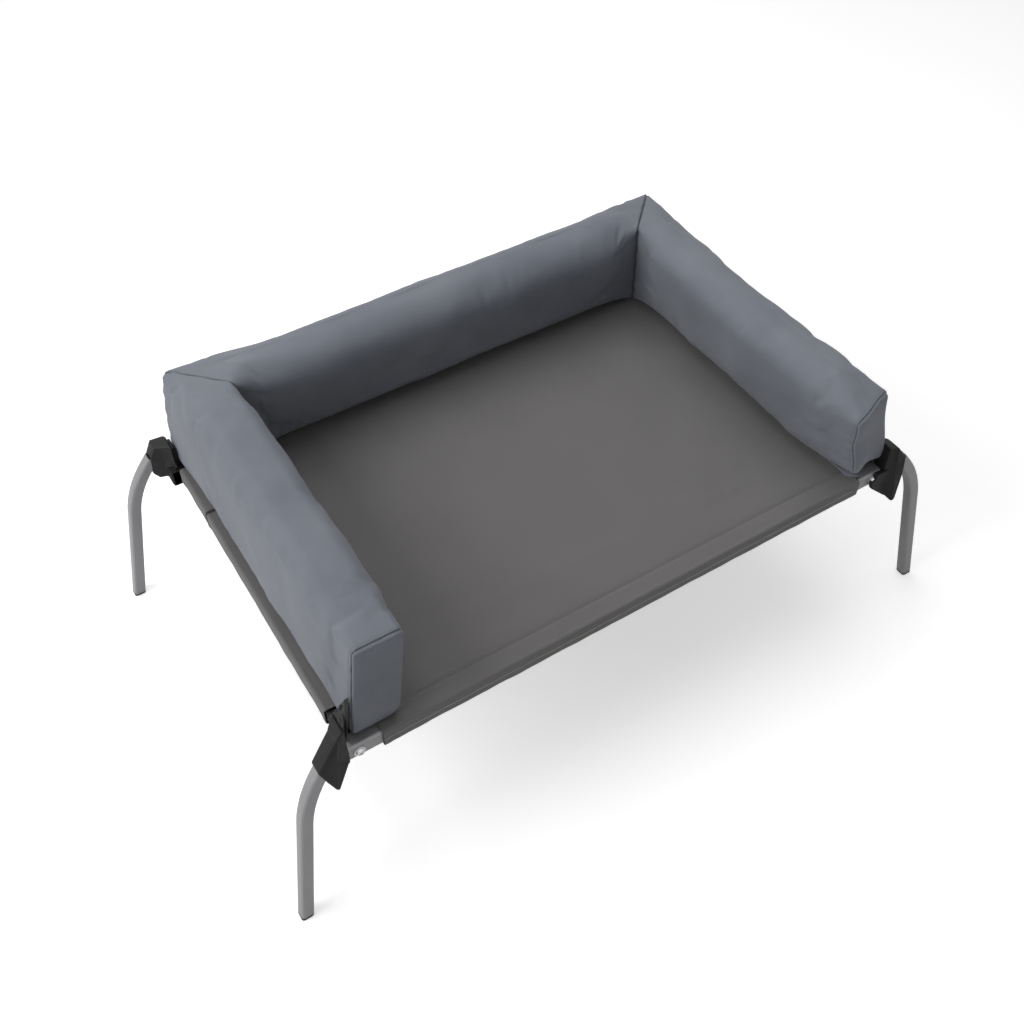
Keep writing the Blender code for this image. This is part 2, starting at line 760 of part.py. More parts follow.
def swollen_section(half_width, half_height, power):
    """Rounded upright section, as points at even turns of a superellipse."""
    points = []
    for i in range(BOLSTER_RING_POINTS):
        angle = 2 * math.pi * (i + 0.5) / BOLSTER_RING_POINTS
        u = math.copysign(abs(math.cos(angle)) ** (2 / power), math.cos(angle))
        v = math.copysign(abs(math.sin(angle)) ** (2 / power), math.sin(angle))
        points.append((u * half_width, v * half_height))
    return points


def bolster_station(t, start, end, skin, scale=1.0, push=0.0):
    """One ring of a bolster as (along, outwards, up) values, part t of the way along it.

    The start and the end are each a place and a slope: how far the end moves along
    the bolster for each metre outwards, 1 at a mitre and 0 at a square end.
    """
    half_u = BOLSTER_WIDTH / 2 - skin
    half_v = BOLSTER_HEIGHT / 2 - skin
    length = end[0] - start[0]
    near = math.exp(-t * length / BOLSTER_PULL_LENGTH)
    far = math.exp(-(1 - t) * length / BOLSTER_PULL_LENGTH)
    pull = 1 - BOLSTER_SEAM_PULL * (near + far)
    power = BOLSTER_ROUND_MIDDLE + (BOLSTER_BOXY_END - BOLSTER_ROUND_MIDDLE) * (near + far)
    ring = []
    for u, v in swollen_section(half_u * pull, half_v, power):
        u = u * scale - BOLSTER_LEAN * (v * scale + half_v) / (2 * half_v)
        v *= scale
        low = start[0] + start[1] * u
        high = end[0] + end[1] * u
        ring.append((low + (high - low) * t + push, u, v))
    return ring


def bolster_rings(start, end, skin):
    """Rings of one bolster from end to end; a square end swells out past its seam."""
    rings = []
    if start[1] == 0:
        for scale, swell in BOLSTER_END_SWELL:
            rings.append(bolster_station(0, start, end, skin, scale, -BOLSTER_END_BULGE * swell))
    for step in range(BOLSTER_RINGS):
        t = (1 - math.cos(math.pi * step / (BOLSTER_RINGS - 1))) / 2
        rings.append(bolster_station(t, start, end, skin))
    return rings


def bolster_form(name, placed, start, end, skin, mat=None):
    """Closed solid of one bolster, set in the world by a placing function.

    The skin is how far it lies inside the cover's outer surface.
    """
    start = (start[0] + skin * math.hypot(1, start[1]), start[1])
    end = (end[0] - skin * math.hypot(1, end[1]), end[1])
    middle = BOLSTER_BOTTOM + BOLSTER_HEIGHT / 2
    rings = []
    for ring in bolster_rings(start, end, skin):
        rings.append([placed(along, out, middle + up) for along, out, up in ring])
    return loft_solid(name, rings, mat)


def bolster_lines():
    """Distance from the bed's centre to the middle of the side and back bolsters."""
    half = BOLSTER_WIDTH / 2
    side_x = FRAME_LENGTH / 2 - BOLSTER_SIDE_INSET - half
    back_y = FRAME_DEPTH / 2 + BOLSTER_BACK_OVERHANG - half
    return side_x, back_y


def make_bolster(label, placed, start, end, slit, cover_mat, core_mat):
    """Cover with a closed slit underneath for turning it out, and the foam core in it."""
    cover = bolster_form(f"bolster_{label}_cover", placed, start, end, 0.0, cover_mat)
    space = bolster_form("space", placed, start, end, BOLSTER_COVER)
    cut(cover, join(space, box("slit", *slit)))
    shade(cover)
    skin = BOLSTER_COVER + CORE_CLEARANCE
    shade(bolster_form(f"bolster_{label}_core", placed, start, end, skin, core_mat))


def make_bolsters(cover_mat, core_mat):
    """Left, back and right bolsters, which meet at mitres in the rear corners."""
    side_x, back_y = bolster_lines()
    front = BOLSTER_FRONT_INSET - FRAME_DEPTH / 2
    half_gap = GAP * math.sqrt(0.5)
    slit_low = BOLSTER_BOTTOM - BOLSTER_COVER
    slit_high = BOLSTER_BOTTOM + 2 * BOLSTER_COVER
    half_slit = COVER_SLIT_WIDTH / 2
    side_reach = SIDE_SLIT_LENGTH / 2
    back_reach = BACK_SLIT_LENGTH / 2
    for label, side in (("left", -1), ("right", 1)):
        def placed_side(along, out, up, side=side):
            return side * (side_x + out), along, up

        middle = side * side_x
        slit = (
            (middle - half_slit, -side_reach, slit_low),
            (middle + half_slit, side_reach, slit_high),
        )
        end = (back_y - half_gap, 1)
        make_bolster(label, placed_side, (front, 0), end, slit, cover_mat, core_mat)

    def placed_back(along, out, up):
        return along, back_y + out, up

    slit = (
        (-back_reach, back_y - half_slit, slit_low),
        (back_reach, back_y + half_slit, slit_high),
    )
    reach = side_x - half_gap
    make_bolster("back", placed_back, (-reach, -1), (reach, 1), slit, cover_mat, core_mat)


# Ties


def make_tie(name, direction, place, sign, mat):
    """Flat tape round a sleeve."""
    outer_size = 2 * TIE_OUTER_HALF
    inner_size = 2 * TIE_INNER_HALF
    outer = rounded_rectangle(outer_size, outer_size, TIE_CORNER + TIE_THICKNESS)
    inner = rounded_rectangle(inner_size, inner_size, TIE_CORNER)
    outer_rings = []
    inner_rings = []
    for station in (place - TIE_WIDTH / 2, place + TIE_WIDTH / 2):
        for rings, section in ((outer_rings, outer), (inner_rings, inner)):
            if direction == "X":
                rings.append(along_x(section, station, sign * LONG_RAIL_Y, RAIL_Z))
            else:
                rings.append(along_y(section, sign * SIDE_RAIL_X, station, RAIL_Z))
    return shade(loft_tube(name, outer_rings, inner_rings, mat))


def make_ties(mat):
    """One tie on each side sleeve and two on the back sleeve."""
    make_tie("tie_left", "Y", SIDE_TIE_Y, -1, mat)
    make_tie("tie_right", "Y", SIDE_TIE_Y, 1, mat)
    make_tie("tie_back_left", "X", -BACK_TIE_X, 1, mat)
    make_tie("tie_back_right", "X", BACK_TIE_X, 1, mat)


def build():
    """Make the whole bed."""
    clear_scene()
    steel = make_material("grey_coated_steel", (0.30, 0.30, 0.32), 0.45, 0.3)
    moulding = make_material("black_moulding", (0.02, 0.02, 0.02), 0.5)
    zinc = make_material("zinc_plated_steel", (0.75, 0.75, 0.76), 0.3, 1.0)
    sling = make_material("sling_cloth", (0.12, 0.115, 0.115), 0.85)
    cover = make_material("bolster_cover", (0.16, 0.18, 0.21), 0.6)
    foam = make_material("foam_core", (0.75, 0.72, 0.62), 0.95)
    tape = make_material("black_tape", (0.015, 0.015, 0.015), 0.8)
    make_long_rail("rail_front", -1, steel)
    make_long_rail("rail_back", 1, steel)
    make_side_rail("rail_left", -1, steel)
    make_side_rail("rail_right", 1, steel)
    make_connectors(moulding)
    make_legs(steel)
    make_feet(moulding)
    make_bolts(zinc)
    make_washers(zinc)
    make_nuts(zinc)
    make_sling_mat(sling)
    make_bolsters(cover, foam)
    make_ties(tape)


build()
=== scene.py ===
import logging
import math
from dataclasses import dataclass, field
from enum import Enum
from typing import Any, Callable

import bmesh
import bpy
import numpy as np
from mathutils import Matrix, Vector


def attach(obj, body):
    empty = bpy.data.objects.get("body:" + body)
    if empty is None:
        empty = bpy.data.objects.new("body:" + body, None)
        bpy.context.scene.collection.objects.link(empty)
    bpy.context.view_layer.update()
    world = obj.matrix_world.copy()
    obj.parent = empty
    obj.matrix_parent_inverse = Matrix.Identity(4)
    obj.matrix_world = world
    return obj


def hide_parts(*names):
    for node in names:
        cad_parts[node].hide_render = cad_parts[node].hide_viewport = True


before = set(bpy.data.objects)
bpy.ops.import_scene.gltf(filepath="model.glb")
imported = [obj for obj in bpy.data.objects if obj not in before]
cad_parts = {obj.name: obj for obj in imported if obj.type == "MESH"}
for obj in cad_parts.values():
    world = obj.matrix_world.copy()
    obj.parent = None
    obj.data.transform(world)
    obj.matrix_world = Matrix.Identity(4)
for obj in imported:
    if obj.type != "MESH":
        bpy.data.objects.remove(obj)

LOG = logging.getLogger("dog_bed")
Array = np.ndarray
Triple = tuple[float, float, float]
Pair = tuple[float, float]
CORNERS = ("front_left", "front_right", "rear_left", "rear_right")
SIDE_AXIS = 0.4295  # from the bed's middle to the middle of a side rail
LONG_AXIS = 0.2795  # from the bed's middle to the middle of a long rail
SLEEVE = 0.0141  # half the width of a sleeve


class Body(Enum):
    """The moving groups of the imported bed."""

    FRAME = "frame"
    BOLSTERS = "bolster_set"


class Side(Enum):
    """Which way a sleeve or a bolster lies from the middle of the bed."""

    LEFT = "left"
    RIGHT = "right"
    FRONT = "front"
    BACK = "back"


# Shader maths


class Value:
    """One output in a material's node tree, which Python's operators work on."""

    def __init__(self, shader: "Shader", socket: Any) -> None:
        """Keep the tree and the output."""
        self.shader = shader
        self.socket = socket

    def sine(self) -> "Value":
        """Sine of the value in radians."""
        return self.shader.maths("SINE", self)

    def size(self) -> "Value":
        """Value without its sign."""
        return self.shader.maths("ABSOLUTE", self)


def operator(operation: str, swapped: bool = False) -> Callable[[Value, Any], Value]:
    """Make the method behind one of Python's operators.

    Args:
        operation: Blender's name of the Math node that does it.
        swapped: whether the other value comes first, as a plain number may.

    Returns:
        The method.
    """

    def method(self: Value, other: Any) -> Value:
        """The node's result for both values."""
        return self.shader.maths(operation, *((other, self) if swapped else (self, other)))

    return method


Value.__add__ = operator("ADD")
Value.__radd__ = operator("ADD", swapped=True)
Value.__sub__ = operator("SUBTRACT")
Value.__rsub__ = operator("SUBTRACT", swapped=True)
Value.__mul__ = operator("MULTIPLY")
Value.__gt__ = operator("GREATER_THAN")


class Shader:
    """A material under construction, with one Principled surface."""

    def __init__(self, name: str) -> None:
        """Start an empty material.

        Args:
            name: the material's name.
        """
        self.material = bpy.data.materials.new(name)
        self.material.use_nodes = True
        self.tree = self.material.node_tree
        self.tree.nodes.clear()
        self.surface = self.node("ShaderNodeBsdfPrincipled")
        self.node("ShaderNodeOutputMaterial", inputs={"Surface": self.surface.outputs[0]})

    def node(
        self,
        kind: str,
        settings: dict[str, Any] | None = None,
        inputs: dict[Any, Any] | None = None,
    ) -> Any:
        """Add one node.

        Args:
            kind: Blender's name for the node type.
            settings: properties of the node; "stops" gives a ramp's places and greys.
            inputs: values or links of its sockets, by name or number.

        Returns:
            The new node.
        """
        node = self.tree.nodes.new(kind)
        for name, value in (settings or {}).items():
            if name == "stops":
                self.set_stops(node, value)
            else:
                setattr(node, name, value)
        for name, value in (inputs or {}).items():
            self.feed(node, name, value)
        return node

    def feed(self, node: Any, name: Any, value: Any) -> None:
        """Give one socket a link or a constant.

        Args:
            node: the node that has the socket.
            name: the socket's name or number.
            value: a Value, an output socket or a constant.
        """
        socket = node.inputs[name]
        if isinstance(value, Value):
            self.tree.links.new(value.socket, socket)
        elif isinstance(value, bpy.types.NodeSocket):
            self.tree.links.new(value, socket)
        else:
            socket.default_value = value

    def set_stops(self, node: Any, stops: tuple[tuple[float, float], ...]) -> None:
        """Set a colour ramp to greys.

        Args:
            node: the ramp's node.
            stops: places from 0 to 1, each with its grey.
        """
        elements = node.color_ramp.elements
        while len(elements) < len(stops):
            elements.new(0.5)
        for element, (place, grey) in zip(elements, stops):
            element.position = place
            element.color = (grey, grey, grey, 1.0)

    def maths(self, operation: str, *values: Any) -> Value:
        """One Math node on one to three values."""
        node = self.node("ShaderNodeMath", {"operation": operation}, dict(enumerate(values)))
        return Value(self, node.outputs[0])

    def mix(self, share: Any, first: Any, second: Any) -> Value:
        """Blend two colours.

        Args:
            share: how much of the second colour shows, 0 to 1.
            first: colour or link that shows at 0.
            second: colour or link that shows at 1.

        Returns:
            The blended colour.
        """
        node = self.node("ShaderNodeMix", {"data_type": "RGBA"}, {0: share, 6: first, 7: second})
        return Value(self, node.outputs[2])

    def spot(self) -> Value:
        """Place on the object, in metres."""
        return Value(self, self.node("ShaderNodeTexCoord").outputs["Object"])

    def on_cloth(self) -> Value:
        """Place on the cloth, in metres along its two thread directions."""
        return Value(self, self.node("ShaderNodeUVMap", {"uv_map": "cloth"}).outputs[0])

    def stretched(self, place: Value, scale: Triple) -> Value:
        """Place with each direction scaled.

        Args:
            place: the place to scale.
            scale: the factor of each direction.

        Returns:
            The scaled place.
        """
        node = self.node("ShaderNodeMapping", None, {"Vector": place, "Scale": scale})
        return Value(self, node.outputs[0])

    def noise(
        self, place: Value, scale: float, detail: float = 2.0, roughness: float = 0.5
    ) -> Value:
        """Soft random pattern from 0 to 1.

        Args:
            place: where it is read.
            scale: spots per metre.
            detail: how many finer layers it has.
            roughness: how strong the finer layers are.

        Returns:
            The pattern.
        """
        inputs = {"Vector": place, "Scale": scale, "Detail": detail, "Roughness": roughness}
        return Value(self, self.node("ShaderNodeTexNoise", None, inputs).outputs[0])

    def ramp(self, value: Value, stops: tuple[tuple[float, float], ...]) -> Value:
        """Value passed through a grey ramp.

        Args:
            value: the value to pass.
            stops: places from 0 to 1, each with its grey.

        Returns:
            The ramped value.
        """
        node = self.node("ShaderNodeValToRGB", {"stops": stops}, {0: value})
        return Value(self, node.outputs[0])

    def parts(self, place: Value) -> tuple[Value, Value, Value]:
        """The three numbers of a place."""
        node = self.node("ShaderNodeSeparateXYZ", None, {0: place})
        return tuple(Value(self, output) for output in node.outputs)

    def bump(self, height: Value, depth: float, under: Value | None = None) -> Value:
        """Surface direction of a fine relief.

        Args:
            height: relief from 0 to 1.
            depth: metres from its lowest to its highest point.
            under: the direction of a coarser relief below it.

        Returns:
            The direction.
        """
        inputs = {"Height": height, "Distance": depth, "Strength": 1.0}
        if under is not None:
            inputs["Normal"] = under
        return Value(self, self.node("ShaderNodeBump", None, inputs).outputs[0])

    def coat(self, **inputs: Any) -> bpy.types.Material:
        """Set the surface's sockets, named with underscores for spaces.

        Args:
            **inputs: values or links of the Principled surface.

        Returns:
            The finished material.
        """
        for name, value in inputs.items():
            self.feed(self.surface, name.replace("_", " "), value)
        return self.material


# Finishes


def neutral(grey: float, factor: float, blue: float) -> tuple[float, ...]:
    """A near grey, with a factor of its own for blue."""
    return grey * factor, grey * factor, grey * blue, 1.0


def shade(colour: Triple, factor: float, tint: Triple = (1.0, 1.0, 1.0)) -> tuple[float, ...]:
    """A colour made lighter or darker, and tinted.

    Args:
        colour: red, green and blue.
        factor: what all three are multiplied by.
        tint: what each is multiplied by.

    Returns:
        The colour with no part above 1, and full opacity.
    """
    return tuple(min(1.0, c * factor * t) for c, t in zip(colour, tint)) + (1.0,)


@dataclass(frozen=True)
class PowderCoat:
    """Satin grey powder coat on steel tube, with a fine orange-peel skin."""

    name: str = "powder_coat"
    grey: float = 0.31
    roughness: float = 0.38

    def material(self) -> bpy.types.Material:
        """Grey that varies a little, small rubbed specks, and a fine orange peel.

        Returns:
            The material.
        """
        shader = Shader(self.name)
        spot = shader.spot()
        cloud = shader.noise(spot, 14.0, 3.0)
        peel = shader.noise(spot, 950.0, 2.0, 0.6)
        specks = shader.ramp(shader.noise(spot, 420.0, 4.0, 0.75), ((0.66, 0.0), (0.74, 1.0)))
        streaks = shader.noise(shader.stretched(spot, (1.0, 1.0, 0.12)), 160.0, 5.0, 0.7)
        scuffs = shader.ramp(streaks, ((0.62, 0.0), (0.72, 1.0)))
        skin = shader.mix(cloud, neutral(self.grey, 0.90, 0.93), neutral(self.grey, 1.08, 1.12))
        skin = shader.mix(specks * 0.35 + scuffs * 0.25, skin, neutral(self.grey, 1.45, 1.48))
        return shader.coat(
            Base_Color=skin,
            Roughness=self.roughness + (cloud - 0.5) * 0.14 - scuffs * 0.06,
            Normal=shader.bump(peel, 0.00006),
            Metallic=0.35,
            Coat_Weight=0.18,
            Coat_Roughness=0.25,
        )


@dataclass(frozen=True)
class MouldedBlack:
    """Black moulded plastic with a spark-eroded grain."""

    name: str = "moulded_black"
    black: float = 0.0065
    roughness: float = 0.50

    def material(self) -> bpy.types.Material:
        """Near black with faint flow marks, paler scuffs and a fine even grain.

        Returns:
            The material.
        """
        shader = Shader(self.name)
        spot = shader.spot()
        grain = shader.noise(spot, 1500.0, 3.0, 0.7)
        flow = shader.noise(shader.stretched(spot, (1.0, 2.4, 1.0)), 45.0, 3.0)
        scuff = shader.ramp(shader.noise(spot, 130.0, 6.0, 0.72), ((0.60, 0.0), (0.76, 1.0)))
        skin = shader.mix(flow, neutral(self.black, 1.0, 1.08), neutral(self.black, 1.9, 2.0))
        return shader.coat(
            Base_Color=shader.mix(scuff * 0.35, skin, neutral(self.black, 3.6, 3.7)),
            Roughness=self.roughness + grain * 0.12 - flow * 0.08,
            Normal=shader.bump(grain, 0.00005, shader.bump(flow, 0.0002)),
            Specular_IOR_Level=0.28,
        )


@dataclass(frozen=True)
class ZincPlate:
    """Bright zinc plating, cloudy and finely scratched."""

    name: str = "zinc_plate"

    def material(self) -> bpy.types.Material:
        """Pale metal in two tones, with scratches drawn out along Y.

        Returns:
            The material.
        """
        shader = Shader(self.name)
        spot = shader.spot()
        cloud = shader.noise(spot, 260.0, 3.0)
        fine = shader.noise(shader.stretched(spot, (1.0, 0.3, 6.0)), 1800.0, 2.0)
        return shader.coat(
            Base_Color=shader.mix(cloud, (0.62, 0.62, 0.64, 1.0), (0.86, 0.86, 0.87, 1.0)),
            Roughness=0.26 + cloud * 0.16,
            Normal=shader.bump(fine, 0.00002),
            Metallic=0.9,
        )


@dataclass(frozen=True)
class WovenCloth:
    """Plain-woven polyester, read in metres along its threads."""

    name: str
    colour: Triple
    pitch: float = 0.00085
    relief: float = 0.00022
    roughness: float = 0.72
    mottle: float = 0.10
    streak: float = 0.16
    sheen: float = 0.12
    tint: Triple = (1.0, 1.0, 1.0)

    def material(self) -> bpy.types.Material:
        """Over-and-under threads, with uneven yarn, a slow drift of colour and painted shade where
        the threads dip.

        The threads' height is the sine of the place across them. A check made from the
        product of both sines says which of the two threads is on top.

        Returns:
            The material.
        """
        shader = Shader(self.name)
        cloth = shader.on_cloth()
        along, across, _ = shader.parts(cloth)
        turn = math.pi / self.pitch
        warp = (along * turn).sine()
        weft = (across * turn).sine()
        over = (warp * weft) > 0.0
        height = over * warp.size() + (1.0 - over) * weft.size()
        yarn_a = shader.noise(shader.stretched(cloth, (1.0, 0.035, 1.0)), 900.0, 2.0, 0.6)
        yarn_b = shader.noise(shader.stretched(cloth, (0.035, 1.0, 1.0)), 900.0, 2.0, 0.6)
        yarn = over * yarn_a + (1.0 - over) * yarn_b
        drift = shader.ramp(shader.noise(shader.spot(), 7.0, 3.0, 0.55), ((0.32, 0.0), (0.68, 1.0)))
        lint = shader.ramp(shader.noise(cloth, 620.0, 4.0, 0.8), ((0.69, 0.0), (0.78, 1.0)))
        dark_yarn_and_shade = shade(self.colour, 1.0 - self.streak * 2.2)
        low = shade(self.colour, 1.0 - self.mottle)
        tone = shader.mix(drift, low, shade(self.colour, 1.0 + self.mottle, self.tint))
        tone = shader.mix((1.0 - yarn) * self.streak * 2.6, tone, dark_yarn_and_shade)
        # Painted shade: darker where the threads dip, in the hollows of the weave.
        tone = shader.mix((1.0 - height) * 0.22, tone, dark_yarn_and_shade)
        return shader.coat(
            Base_Color=shader.mix(lint * 0.25, tone, shade(self.colour, 1.7)),
            Roughness=self.roughness + (yarn - 0.5) * 0.16,
            Normal=shader.bump(height, self.relief, shader.bump(yarn, self.relief * 0.8)),
            Sheen_Weight=self.sheen,
            Sheen_Roughness=0.45,
        )


@dataclass(frozen=True)
class SewingThread:
    """Twisted polyester thread."""

    name: str
    colour: Triple
    twist: float = 0.0007

    def material(self) -> bpy.types.Material:
        """Two tones along a fine twist.

        Returns:
            The material.
        """
        shader = Shader(self.name)
        x, y, z = shader.parts(shader.spot())
        twist = ((x + y + z) * (2.0 * math.pi / self.twist)).sine() * 0.5 + 0.5
        return shader.coat(
            Base_Color=shader.mix(twist, shade(self.colour, 0.6), shade(self.colour, 1.5)),
            Roughness=0.55 + twist * 0.1,
            Normal=shader.bump(twist, 0.00008),
        )

# Surfaces


@dataclass
class Patch:
    """A grid of points with rows along one parameter and columns along the other."""

    points: Array
    cloth: Array | None = None
    round_columns: bool = False
    round_rows: bool = False
    capped: bool = False
    keep: Array | None = None

    def faces(self) -> tuple[Array, Array]:
        """Corners of every cell, as numbers of points and of cloth places.

        Returns:
            Point numbers and cloth-place numbers, both with four columns.
        """
        rows, columns = self.points.shape[:2]
        down = np.arange(rows if self.round_rows else rows - 1)
        along = np.arange(columns if self.round_columns else columns - 1)
        i, j = np.meshgrid(down, along, indexing="ij")
        if self.keep is not None:
            i, j = i[self.keep], j[self.keep]
        i, j = i.ravel(), j.ravel()
        corner_i = np.stack([i, i, i + 1, i + 1], 1)
        corner_j = np.stack([j, j + 1, j + 1, j], 1)
        width = columns + 1 if self.round_columns else columns
        return (corner_i % rows) * columns + corner_j % columns, corner_i * width + corner_j

    def piece(self, name: str, smooth: bool = True) -> bpy.types.Object:
        """Make the grid a mesh object, with fans over its ends where it is capped.

        Args:
            name: the object's name.
            smooth: whether it is shaded smooth.

        Returns:
            The object.
        """
        rows, columns = self.points.shape[:2]
        points = self.points.reshape(-1, 3)
        cells, places = self.faces()
        faces = cells.tolist()
        fans: list[list[int]] = []
        if self.capped:
            ring = np.arange(columns)
            after = (ring + 1) % columns
            ends = np.stack([self.points[0].mean(0), self.points[-1].mean(0)])
            first, last = len(points), len(points) + 1
            base = (rows - 1) * columns
            fans = np.stack([after, ring, np.full(columns, first)], 1).tolist()
            fans += np.stack([base + ring, base + after, np.full(columns, last)], 1).tolist()
            points = np.vstack([points, ends])
        mesh = bpy.data.meshes.new(name)
        mesh.from_pydata(points.tolist(), [], faces + fans)
        if self.cloth is not None:
            self.lay_cloth(mesh, places, len(fans))
        obj = bpy.data.objects.new(name, mesh)
        bpy.context.scene.collection.objects.link(obj)
        if self.keep is not None:
            drop_loose(mesh)
        mesh.polygons.foreach_set("use_smooth", np.full(len(mesh.polygons), smooth))
        mesh.update()
        return obj

    def lay_cloth(self, mesh: bpy.types.Mesh, places: Array, fans: int) -> None:
        """Store the cloth places as a UV map, in metres.

        Args:
            mesh: the mesh to mark.
            places: cloth-place numbers of every cell.
            fans: how many fan triangles follow the cells.
        """
        flat = self.cloth.reshape(-1, 2)
        values = np.zeros((places.size + fans * 3, 2))
        values[:places.size] = flat[places.ravel()]
        if fans:
            rim = self.cloth[0, :self.points.shape[1]]
            half = fans // 2
            after = np.roll(rim, -1, axis=0)
            middle = np.repeat(rim.mean(0)[None], half, axis=0)
            fan = np.stack([after, rim, middle], 1).reshape(-1, 2)
            values[places.size:places.size + fan.shape[0]] = fan
            values[places.size + fan.shape[0]:] = fan
        layer = mesh.uv_layers.new(name="cloth")
        layer.data.foreach_set("uv", values.ravel())


def drop_loose(mesh: bpy.types.Mesh) -> None:
    """Remove points that no face uses.

    Args:
        mesh: the mesh to clean.
    """
    work = bmesh.new()
    work.from_mesh(mesh)
    bmesh.ops.delete(work, geom=[v for v in work.verts if not v.link_faces], context="VERTS")
    work.to_mesh(mesh)
    work.free()


def mesh_points(mesh: bpy.types.Mesh, value: str = "co") -> Array:
    """Points of a mesh as an array, or their directions where value is "normal"."""
    values = np.zeros(len(mesh.vertices) * 3)
    mesh.vertices.foreach_get(value, values)
    return values.reshape(-1, 3)


def set_points(mesh: bpy.types.Mesh, points: Array) -> None:
    """Write an array back to a mesh's points."""
    mesh.vertices.foreach_set("co", points.ravel())
    mesh.update()


def step_up(value: Array, low: float, high: float) -> Array:
    """0 below low, 1 above high, and a smooth cubic between them."""
    part = np.clip((value - low) / (high - low), 0.0, 1.0)
    return part * part * (3.0 - 2.0 * part)


def run_length(steps: Array) -> Array:
    """Length from a line's start to each of its points, from the steps between them."""
    return np.concatenate([[0.0], np.cumsum(steps)])


def line_steps(line: Array) -> Array:
    """Length of each step of a line of points."""
    return np.linalg.norm(np.diff(line, axis=0), axis=1)


def rounded_square(half: float, corner: float, count: int) -> Array:
    """Square whose corners are quarter circles.

    Args:
        half: half its width.
        corner: radius of the corners.
        count: points on each corner.

    Returns:
        Its points, anticlockwise.
    """
    turn = np.linspace(0.0, math.pi / 2, count)
    quarter = np.stack([np.cos(turn), np.sin(turn)], 1) * corner + half - corner
    turns = [np.array([[c, s], [-s, c]]) for c, s in ((1, 0), (0, 1), (-1, 0), (0, -1))]
    return np.concatenate([quarter @ matrix for matrix in turns])


def corner_signs(corner: str) -> Pair:
    """Signs of X and Y at one of the bed's corners."""
    return 1.0 if "right" in corner else -1.0, 1.0 if "rear" in corner else -1.0


def waves(places: Array, count: int, span: tuple[float, float], seed: int) -> Array:
    """Soft undulation between about -1 and 1.

    It is the mean of sines of the place along random directions, each with its own
    wavelength and start.

    Args:
        places: places on the cloth, in metres.
        count: how many sines are added.
        span: shortest and longest wavelength.
        seed: number that fixes the random choice.

    Returns:
        One height for each place.
    """
    pick = np.random.default_rng(seed)
    heading = pick.uniform(0.0, math.pi, count)
    length = pick.uniform(span[0], span[1], count)
    start = pick.uniform(0.0, 2.0 * math.pi, count)
    across = places @ np.stack([np.cos(heading), np.sin(heading)])
    return np.sin(2.0 * math.pi * across / length + start).sum(-1) / math.sqrt(count)


def paint(obj: bpy.types.Object, material: bpy.types.Material) -> None:
    """Give a new piece its only material, or every slot of a CAD node the same one."""
    if not obj.data.materials:
        obj.data.materials.append(material)
    for slot in obj.material_slots:
        slot.material = material


def dress(
    obj: bpy.types.Object, material: bpy.types.Material, body: Body, slot: str, *stands_for: str
) -> None:
    """Give a new piece its finish, its body and the CAD nodes that it stands for.

    Args:
        obj: the piece.
        material: its finish.
        body: the moving group that it rides on.
        slot: not used.
        *stands_for: names of the CAD nodes that it replaces.
    """
    paint(obj, material)
    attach(obj, body.value)
    LOG.info("%s: %d points", obj.name, len(obj.data.vertices))
    if stands_for:
        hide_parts(*stands_for)


def thicken(obj: bpy.types.Object, thickness: float, offset: float = -1.0) -> None:
    """Give a sheet its cloth's thickness, inwards at -1 and to both sides at 0."""
    solid = obj.modifiers.new("cloth", "SOLIDIFY")
    solid.thickness = thickness
    solid.offset = offset


# Stitches


